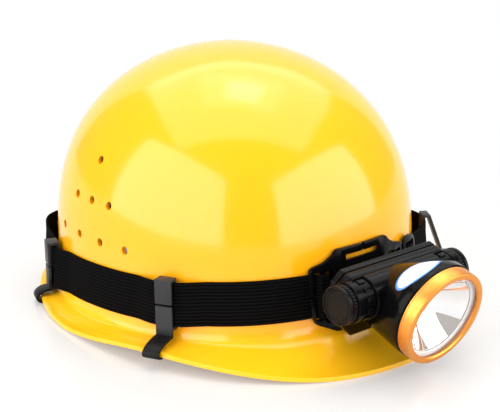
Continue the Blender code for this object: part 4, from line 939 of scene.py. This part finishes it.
def cushion(name, node, steps, thickness, height, place):
    # a pad that is full in the middle and rolled in at its edges and its two ends
    rows = []
    for step in range(steps + 1):
        share = 2 * step / steps - 1
        fill = rounded(share, soft["rollStart"], soft["rollLeast"])
        row = []
        for corner in range(soft["corners"]):
            angle = 2 * math.pi * corner / soft["corners"]
            depth = thickness / 2 * fill * signedPower(math.cos(angle), soft["depthPower"])
            rise = height / 2 * signedPower(math.sin(angle), soft["heightPower"])
            row.append(capFrame @ place(share, depth, rise))
        rows.append(row)
    return piece(name, sweep(rows), "helmet", "foam", [node])


def sweatSpot(share, depth, rise):
    # along the inside of the headband's brow
    halfX, halfY = soft["bandHalf"]
    inset = soft["bandThickness"] / 2 + strap["seat"] + soft["sweatThickness"] / 2
    turn = math.radians(soft["sweatTurn"] * share)
    middle = Vector(((halfX - inset) * math.sin(turn), (inset - halfY) * math.cos(turn), soft["sweatMiddle"]))
    out = Vector((middle.x / halfX ** 2, middle.y / halfY ** 2, 0)).normalized()
    return middle + out * depth + Vector((0, 0, rise))


def padSpot(share, depth, rise):
    # between the plate and the cap's wall
    seat = strap["gap"] + soft["padThickness"] / 2
    return wallPoint(turnAt(soft["padHalf"] * share), soft["padMiddle"] + rise, seat + depth)


def makeCrownStrap(node, name):
    # a copy of the strap's strip, cut finer across, with the weave's own map
    bm = copied(node)
    lo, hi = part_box(node)
    slant = 1 if node.endswith("upper") else -1
    across = capFrame.to_3x3() @ wallNormal(math.radians(soft["crownTurn"] * slant)).cross(Vector((0, 0, 1)))
    rungs = [edge for edge in bm.edges
             if abs((edge.verts[1].co - edge.verts[0].co).normalized().dot(across)) > soft["rungSlant"]
             and edge.calc_length() > soft["rungLength"]]
    bmesh.ops.subdivide_edges(bm, edges=rungs, cuts=soft["crownCuts"], use_grid_fill=True)
    soften(bm, soft["crownEdge"], angle=60.0)
    middle = (lo + hi) / 2
    spots = {}
    for vert in bm.verts:
        away = vert.co - middle
        reach = away - across * away.dot(across)
        turn = math.atan2(reach.z + middle.z, math.copysign(math.hypot(reach.x, reach.y), reach.x))
        spots[vert] = (turn * (hi.z - lo.z), away.dot(across))
    mapped(bm, "weave", spots)
    piece(name, bm, "helmet", "crown", [node], smooth=50.0)


cushion("browPad", "sweatband", soft["sweatSteps"], soft["sweatThickness"], soft["sweatHeight"],
                  sweatSpot)
cushion("platePad", "plate_pad", soft["padSteps"], soft["padThickness"], soft["padHeight"],
                  padSpot)
makeCrownStrap("crown_strap_upper", "crownStrapUpper")
makeCrownStrap("crown_strap_lower", "crownStrapLower")
print("soft pieces made")


# the lamp, about its hinge: reach runs forwards and rise upwards
lamp = {
    "hingeHeight": 0.0218,
    "standoff": 0.0060,
    "tilt": 17.0,
    "bezelReach": 0.0475,
    "opticRise": 0.0260,
    "barrelReach": 0.0110,
    "barrelRise": 0.0250,
}
plateFront = strap["gap"] + strap["thickness"] + strap["seat"] + holder["plate"]
hinge = wallPoint(0.0, lamp["hingeHeight"], plateFront + lamp["standoff"])
lampFrame = capFrame @ Matrix.Translation(hinge) @ spun("X", lamp["tilt"])
beam = spun("X", 90)
opticFrame = lampFrame @ Matrix.Translation((0, -lamp["bezelReach"], lamp["opticRise"])) @ beam
barrelFrame = lampFrame @ Matrix.Translation((0, -lamp["barrelReach"], lamp["barrelRise"]))
leftEnd = barrelFrame @ spun("Y", 90)
rightEnd = barrelFrame @ spun("Y", -90)

case = {
    "foot": (0.0245, -0.0030),
    "elbow": (0.0400, 0.0120),
    "shoulder": (0.0400, 0.0315),
    "top": (0.0345, 0.0372),
    "flangeBack": 0.0017,
    "flangeFront": 0.0079,
    "edge": 0.0009,
    "rootRadius": 0.0198,
    "rootDrop": 0.0090,
    "rootReach": 0.00635,
    "headRadius": 0.0283,
    "headRows": (0.012, 0.020, 0.028),
    "headStart": 0.0344,
    "headEnd": 0.0394,
    "headEdge": 0.0006,
    "collar": 0.0256,
    "collarEnd": 0.0414,
    "bore": 0.0240,
    "throat": 0.0103,
    "throatReach": 0.0228,
    "steps": 96,
    "ears": (0.0116, 0.0184),
    "notch": 0.0036,
    "knuckle": 0.0035,
    "knuckleHalf": 0.0228,
    "coverEdge": 0.0006,
}


def flange():
    # octagonal plate that carries the barrel and the head
    half = [case["foot"], case["elbow"], case["shoulder"], case["top"]]
    corners = half + [(-x, rise) for x, rise in reversed(half)]
    bm = bmesh.new()
    ring = bmesh.ops.create_circle(bm, cap_ends=True, segments=len(corners), radius=1.0)["verts"]
    for vert, (x, rise) in zip(ring, corners):
        vert.co = (x, -case["flangeBack"], rise)
    made = bmesh.ops.extrude_face_region(bm, geom=bm.faces[:])["geom"]
    fresh = [item for item in made if isinstance(item, bmesh.types.BMVert)]
    bmesh.ops.translate(bm, verts=fresh, vec=(0, case["flangeBack"] - case["flangeFront"], 0))
    bmesh.ops.recalc_face_normals(bm, faces=bm.faces)
    soften(bm, case["edge"], segments=3)
    return bm


def hingeCutters():
    # room behind the foot for the plate's ears and for the cover's knuckle
    ears = bmesh.new()
    near, far = case["ears"]
    notch = case["notch"]
    size = Matrix.Diagonal((far - near, 3 * notch, 3 * notch, 1))
    for side in (-1, 1):
        spot = Matrix.Translation((side * (near + far) / 2, notch / 2, -notch / 2))
        bmesh.ops.create_cube(ears, size=1.0, matrix=spot @ size)
    groove = bmesh.new()
    rod(groove, case["knuckle"], 2 * case["knuckleHalf"], Matrix.Identity(4), segments=48)
    return helper("earCutters", ears), helper("grooveCutter", groove)


def notchedFlange():
    made = helper("flange", flange())
    cutters = hingeCutters()
    for cutter in cutters:
        carve(made, cutter)
    settle(made, *cutters)
    bm = bmesh.new()
    bm.from_mesh(made.data)
    bpy.data.objects.remove(made, do_unlink=True)
    return bm


def ringSpot(angle, radius, reach, rise=lamp["opticRise"]):
    return Vector((radius * math.cos(angle), -reach, rise + radius * math.sin(angle)))


def headSpot(angle, reach):
    # outer skin of the head, which grows and climbs from its root to the ring behind the bezel
    share = (reach - case["rootReach"]) / (case["headStart"] - case["rootReach"])
    share = min(1.0, max(0.0, share))
    radius = case["rootRadius"] + (case["headRadius"] - case["rootRadius"]) * share
    return ringSpot(angle, radius, reach, lamp["opticRise"] - case["rootDrop"] * (1 - share))


def headShell():
    # rings from the root forwards over the collar and back down the bore
    edge, end = case["headEdge"], case["headEnd"]
    angles = [2 * math.pi * step / case["steps"] for step in range(case["steps"])]
    reaches = (case["rootReach"], *case["headRows"], case["headStart"], end - edge)
    sections = [[headSpot(angle, reach) for angle in angles] for reach in reaches]
    rings = ((case["headRadius"] - edge, end), (case["collar"], end), (case["collar"], case["collarEnd"]),
             (case["bore"], case["collarEnd"]), (case["bore"], end), (case["throat"], case["throatReach"]))
    sections += [[ringSpot(angle, radius, reach) for angle in angles] for radius, reach in rings]
    return sweep(sections)


barrel = {
    "half": 0.0400,
    "ring": 0.0116,
    "ringStart": 0.0355,
    "radius": 0.0110,
    "collar": 0.0123,
    "collarStart": 0.0270,
    "bore": 0.0096,
    "edge": 0.0004,
    "lugs": 12,
    "lugSize": (0.0044, 0.0030, 0.0016),
    "lugAt": 0.0313,
    "lugEdge": 0.0003,
}


def barrelTube():
    half, edge, ring, collar = (barrel[key] for key in ("half", "edge", "ring", "collar"))
    ringStart, collarStart = barrel["ringStart"], barrel["collarStart"]
    side = [(barrel["bore"], half), (ring - edge, half), (ring, half - edge), (ring, ringStart + edge),
            (ring - edge, ringStart), (barrel["radius"], ringStart), (barrel["radius"], collarStart),
            (collar - edge, collarStart), (collar, collarStart - edge)]
    return lathe(side + [(radius, -x) for radius, x in reversed(side)], leftEnd, closed=True)


def barrelLugs():
    # small grip blocks in the two necks of the barrel
    bm = bmesh.new()
    for side in (-1, 1):
        for step in range(barrel["lugs"]):
            turn = spun("X", 360 * step / barrel["lugs"])
            spot = Matrix.Translation((side * barrel["lugAt"], 0, barrel["radius"]))
            bmesh.ops.create_cube(bm, size=1.0, matrix=barrelFrame @ turn @ spot
                                  @ Matrix.Diagonal((*barrel["lugSize"], 1.0)))
    soften(bm, barrel["lugEdge"])
    return bm


def merged(*parts):
    # several closed forms in one mesh
    whole = bmesh.new()
    for part in parts:
        mesh = bpy.data.meshes.new("form")
        part.to_mesh(mesh)
        part.free()
        whole.from_mesh(mesh)
        bpy.data.meshes.remove(mesh)
    return whole


def makeCase():
    forms = [notchedFlange(), headShell()]
    for form in forms:
        form.transform(lampFrame)
    bm = merged(*forms, barrelTube(), barrelLugs())
    piece("frontCase", bm, "lamp", "black", ["front_case"], smooth=32.0)
    bm = copied("rear_cover")
    soften(bm, case["coverEdge"], segments=3)
    piece("rearCover", bm, "lamp", "black", ["rear_cover"], smooth=32.0)


makeCase()

label = {
    "turn": 113.0,
    "halfTurn": 33.0,
    "reach": 0.0288,
    "halfReach": 0.0076,
    "lift": 0.00015,
    "lean": 0.25,
    "cells": 28,
    "colour": (0.86, 0.88, 0.90),
    "roughness": 0.25,
    "border": ((0.84, (0.84, 0.88, 0.92)), (0.90, (0.10, 0.36, 0.75)), (1.0, (0.02, 0.12, 0.45))),
}


def labelFinish():
    # plain pale face with a blue border
    finish = Finish("labelBlank", label["colour"], label["roughness"])
    uv = finish.start.node("UVMap", {"uv_map": "oval"}, {})
    away = finish.start.node("VectorMath", {"operation": "LENGTH"}, {0: uv}, "Value")
    finish.set("Base Color", finish.ramp(away, ((0.0, label["colour"]), *label["border"])))
    finish.gloss(finish.noise(120.0), 0.1, label["roughness"])
    return finish.material


def makeLabel():
    # a blank oval on the head
    bm = bmesh.new()
    bmesh.ops.create_grid(bm, x_segments=label["cells"], y_segments=label["cells"], size=1.0)
    oval = {}
    for vert in bm.verts:
        x, y, _ = vert.co
        x, y = x * math.sqrt(1 - y * y / 2), y * math.sqrt(1 - x * x / 2)
        angle = math.radians(label["turn"] + label["halfTurn"] * x)
        out = Vector((math.cos(angle), label["lean"], math.sin(angle))).normalized()
        vert.co = headSpot(angle, label["reach"] + label["halfReach"] * y) + out * label["lift"]
        oval[vert] = (x, y)
    mapped(bm, "oval", oval)
    bm.transform(lampFrame)
    bmesh.ops.recalc_face_normals(bm, faces=bm.faces)
    if sum(face.normal.z for face in bm.faces) < 0:
        bmesh.ops.reverse_faces(bm, faces=bm.faces)
    finishes["label"] = labelFinish()
    piece("labelBlank", bm, "lamp", "label")


makeLabel()
print("case made")

disc = {
    "start": 0.0403,
    "radius": 0.0108,
    "length": 0.0056,
    "rim": 0.0012,
    "dish": 0.0008,
    "ease": 0.0003,
    "bead": (0.0022, 0.0019, 0.0014, 0.0011),
    "grooves": 36,
    "grooveSteps": 6,
    "grooveDepth": 0.0005,
    "shaft": (0.0030, 0.0050),
    "plug": (0.0093, 0.0024),
}


def endDisc(core, place):
    # dished disc with a ring groove round its edge and a core that goes into the barrel
    start, end = disc["start"], disc["start"] + disc["length"]
    radius, dish, rim, ease = disc["radius"], disc["dish"], disc["radius"] - disc["rim"], disc["ease"]
    middle, floor = start + disc["length"] / 2, end - dish
    coreRadius, coreLength = core
    profile = [(0.0, floor)]
    profile += [(rim - inset, floor + rise) for inset, rise in zip(disc["bead"], (0.0, ease, ease, 0.0))]
    profile += [(rim - ease, floor), (rim, floor + ease), (rim + ease, end), (radius - ease, end),
                (radius, end - ease), (radius, middle + dish), (radius - ease, middle + dish - ease),
                (rim, middle + dish / 2), (rim, middle), (radius - ease, middle - dish / 2 + ease),
                (radius, middle - dish / 2), (radius, start + ease), (radius - ease, start),
                (coreRadius, start), (coreRadius, start - coreLength), (0.0, start - coreLength)]
    bm = lathe(profile, Matrix.Identity(4), disc["grooves"] * disc["grooveSteps"])
    for vert in bm.verts:
        away = math.hypot(vert.co.x, vert.co.y)
        if away > radius - 2 * ease and vert.co.z < middle:
            turn = math.atan2(vert.co.y, vert.co.x) * disc["grooves"]
            scale = 1 - disc["grooveDepth"] / radius * max(0.0, math.cos(turn)) ** 2
            vert.co.x *= scale
            vert.co.y *= scale
    bm.transform(place)
    return bm


for name, core, place, body, node in (("switchKnob", "shaft", rightEnd, "knob", "switch_knob"),
                                      ("batteryCap", "plug", leftEnd, "lamp", "battery_cap")):
    piece(name, endDisc(disc[core], place), body, "knob", [node], smooth=30.0)

optics = {
    "bezel": 0.0277,
    "opening": 0.0238,
    "depth": 0.0078,
    "lip": 0.0014,
    "wall": 0.0018,
    "chamfer": 0.0007,
    "lens": (0.0256, -0.0017, -0.0035),
    "gasket": (0.0226, 0.0256, -0.0038, -0.0046),
    "mouth": (0.0218, -0.0049),
    "throat": (0.0036, -0.0206),
    "rim": 0.0009,
    "shellWall": 0.0010,
    "bowlSteps": 40,
    "led": (0.0025, 0.0022),
    "ledSteps": 16,
    "ledSides": 48,
    "steps": 160,
    "ease": 0.0002,
    "bezelEase": 0.00025,
    "bezelDome": 0.00012,
    "bezelRound": (0.0006, 0.0004),
    "bezelBreak": (1 / 3, 0.6),
    "bezelGroove": ((0.82, 0), (0.84, 1), (0.88, 1), (0.90, 0)),
}


def turned(name, node, profile, finish, smooth, steps=optics["steps"], closed=True):
    # a piece spun about the lamp's beam
    piece(name, lathe(profile, opticFrame, steps, closed), "lamp", finish, [node], smooth)


def bezelProfile():
    radius, opening, depth = optics["bezel"], optics["opening"], optics["depth"]
    inner = radius - optics["wall"]
    chamfer, lip, ease, dome = optics["chamfer"], optics["lip"], optics["bezelEase"], optics["bezelDome"]
    near, far = optics["bezelRound"]
    inwards, down = optics["bezelBreak"]
    face = [(opening + chamfer, 0.0), (opening + chamfer + near, dome), (radius - chamfer - far, 0.0),
            (radius - chamfer, -dome), (radius - chamfer * inwards, -chamfer * down),
            (radius, -chamfer - far)]
    groove = [(radius - ease * sunk, -depth * share) for share, sunk in optics["bezelGroove"]]
    return face + groove + [(radius, -depth + ease), (radius - ease, -depth), (inner, -depth), (inner, -lip),
                            (opening, -lip), (opening, -chamfer)]


def lensProfile():
    radius, front, back = optics["lens"]
    ease = optics["ease"]
    return [(0.0, front), (radius - ease, front), (radius, front - ease), (radius, back + ease),
            (radius - ease, back), (0.0, back)]


def bowlProfile():
    mouth, front = optics["mouth"]
    throat, back = optics["throat"]
    bowl = []
    for step in range(optics["bowlSteps"] + 1):
        share = step / optics["bowlSteps"]
        radius = math.sqrt(throat ** 2 + (mouth ** 2 - throat ** 2) * share)
        bowl.append((radius, back + (front - back) * share))
    outer = [(radius + optics["shellWall"], z) for radius, z in bowl if z < front - optics["rim"]]
    rim = optics["lens"][0]
    return bowl + [(rim, front), (rim, front - optics["rim"])] + outer[::-1]


def gasketProfile():
    inner, outer, front, back = optics["gasket"]
    ease = optics["ease"]
    return [(inner, back + ease), (inner + ease, front), (outer - ease, front), (outer, front - ease),
            (outer, back), (inner, back)]


def ledProfile():
    radius, height = optics["led"]
    base = optics["throat"][1]
    angles = [math.pi / 2 * step / optics["ledSteps"] for step in range(optics["ledSteps"] + 1)]
    return [(0.0, base)] + [(radius * math.cos(angle), base + height * math.sin(angle)) for angle in angles]


turned("bezelRing", "bezel_ring", bezelProfile(), "bezel", smooth=28.0)
turned("lensDisc", "lens", lensProfile(), "lens", smooth=30.0, closed=False)
turned("reflectorBowl", "reflector", bowlProfile(), "chrome", smooth=40.0)
turned("lensGasket", "lens_gasket", gasketProfile(), "rubber", smooth=30.0)
turned("ledEmitter", "led_emitter", ledProfile(), "phosphor", smooth=40.0, steps=optics["ledSides"],
       closed=False)
print("optics made")


# pieces kept from the frame, each with its own finish
kept = {
    "steel": ("hinge_pin", "case_screw_top_left", "case_screw_top_right", "case_screw_low_left",
              "case_screw_low_right", "contact_spring"),
    "boardWhite": ("led_board",),
    "aluminium": ("heat_sink",),
    "boardGreen": ("driver_board",),
    "wrap": ("battery_cell",),
    "brass": ("battery_terminal",),
    "clip": ("switch_body",),
}
for finish, nodes in kept.items():
    for node in nodes:
        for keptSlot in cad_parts[node].material_slots:
            keptSlot.material = finishes[finish]
print("kept nodes finished")


# floor, backdrop, world and lamps
studio = {
    "floor": 6.0,
    "floorColour": (0.64, 0.64, 0.64),
    "floorRoughness": 0.25,
    "floorIor": 1.7,
    "near": 0.28,
    "fadeStart": 0.17,
    "fadeEnd": 0.36,
    "wall": (2.9, 2.0),
    "wallAway": 1.6,
    "behind": 140.0,
    "world": (0.36, 0.32, 0.28),
    "middle": (0.0, 0.03, 0.08),
}


def heading(azimuth):
    # level direction, with 0 to the front and 90 towards the wearer's left
    turn = math.radians(azimuth)
    return Vector((math.sin(turn), -math.cos(turn), 0))


def stageSheet(name, place, size, finish):
    bm = bmesh.new()
    bmesh.ops.create_grid(bm, x_segments=1, y_segments=1, size=0.5, matrix=Matrix.Diagonal((*size, 1, 1)))
    bm.transform(place)
    sheet = helper(name, bm)
    sheet.data.materials.append(finish)


def whiteFinish():
    # pale sheet that turns to plain white away from the object, and keeps its shadow near it
    finish = Finish("floorWhite", studio["floorColour"], studio["floorRoughness"], IOR=studio["floorIor"])
    start = finish.start
    seen = start.node("LightPath", {}, {}, "Is Camera Ray")
    path = seen.socket.node.outputs
    for key in ("Is Glossy Ray", "Is Transmission Ray"):
        seen = start.maths("MAXIMUM", seen, Wire(finish.tree, path[key]))
    away = start.node("VectorMath", {"operation": "DISTANCE"},
                      {0: finish.place, 1: studio["middle"]}, "Value")
    fade = start.node("MapRange", {"interpolation_type": "SMOOTHSTEP"},
                      {"Value": away, "From Min": studio["fadeStart"], "From Max": studio["fadeEnd"],
                       "To Min": studio["near"], "To Max": 1.0})
    white = start.node("Emission", {}, {"Color": (1, 1, 1, 1), "Strength": 1.0})
    body = Wire(finish.tree, finish.shader.outputs[0])
    both = start.node("MixShader", {}, {0: seen * fade, 1: body, 2: white})
    finish.tree.links.new(both.socket, finish.tree.nodes["Material Output"].inputs["Surface"])
    return finish.material


def makeBackground():
    white = whiteFinish()
    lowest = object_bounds()[0][2]
    stageSheet("floor", Matrix.Translation((0, 0, lowest)), (studio["floor"], studio["floor"]), white)
    behind = studio["behind"]
    spot = heading(behind) * studio["wallAway"] + Vector((0, 0, studio["wall"][1] / 2))
    turn = spun("Z", behind + 180) @ spun("X", 90)
    stageSheet("wall", Matrix.Translation(spot) @ turn, studio["wall"], white)
    world = bpy.data.worlds.new("studio")
    world.use_nodes = True
    scene.world = world
    start = Wire(world.node_tree)
    seen = start.node("LightPath", {}, {}, "Is Camera Ray")
    colour = start.node("Mix", {"data_type": "RGBA"},
                        {0: seen, 6: (*studio["world"], 1.0), 7: (1, 1, 1, 1)}, 2)
    world.node_tree.links.new(colour.socket, world.node_tree.nodes["Background"].inputs["Color"])


# softboxes: azimuth, distance, height, tip, width and height, and how bright they look
boxes = {
    "leftPanel": (-94.0, 1.3, 0.66, 90.0, (2.15, 1.28), 3.4),
    "rightPanel": (20.0, 1.3, 0.56, 90.0, (1.75, 1.08), 3.5),
    "topPanel": (140.0, 0.40, 1.40, 0.0, (2.5, 2.0), 1.75),
    "topMiddle": (134.0, 0.40, 1.38, 0.0, (1.0, 0.8), 0.9),
    "topSpot": (128.0, 0.34, 1.36, 0.0, (0.42, 0.42), 3.0),
}


def softbox(name, azimuth, away, height, tip, size, glow):
    data = bpy.data.lights.new(name, "AREA")
    data.shape = "RECTANGLE"
    data.size, data.size_y = size
    data.energy = glow * math.pi * data.size * data.size_y
    made = bpy.data.objects.new(name, data)
    made.location = heading(azimuth) * away + Vector((0, studio["middle"][1], height))
    made.rotation_euler = (math.radians(tip), 0, math.radians(azimuth))
    scene.collection.objects.link(made)


makeBackground()
for name, box in boxes.items():
    softbox(name, *box)
print("studio made")


# camera: fitted to the photo's 500 by 412 frame
view = {
    "azimuth": -39.93,
    "elevation": 16.26,
    "roll": -1.25,
    "distance": 0.90531,
    "target": (0, 0, 0.070),
    "focal": 1502.82,
    "centre": (232.33, 185.75),
    "image": (500, 412),
    "sensor": 36.0,
    "clip": (0.01, 50.0),
}


def makeCamera():
    aim = spun("Z", view["azimuth"]) @ spun("X", 90 - view["elevation"])
    data = bpy.data.cameras.new("photoCamera")
    width, height = view["image"]
    data.sensor_width = view["sensor"]
    data.lens = view["focal"] / width * data.sensor_width
    data.shift_x = (width / 2 - view["centre"][0]) / width
    data.shift_y = -(height / 2 - view["centre"][1]) / width
    data.clip_start, data.clip_end = view["clip"]
    camera = bpy.data.objects.new("photoCamera", data)
    stand = Matrix.Translation(view["target"]) @ aim @ Matrix.Translation((0, 0, view["distance"]))
    camera.matrix_world = capFrame @ stand @ spun("Z", view["roll"])
    scene.collection.objects.link(camera)
    scene.camera = camera
    scene.view_settings.view_transform = "Standard"


makeCamera()
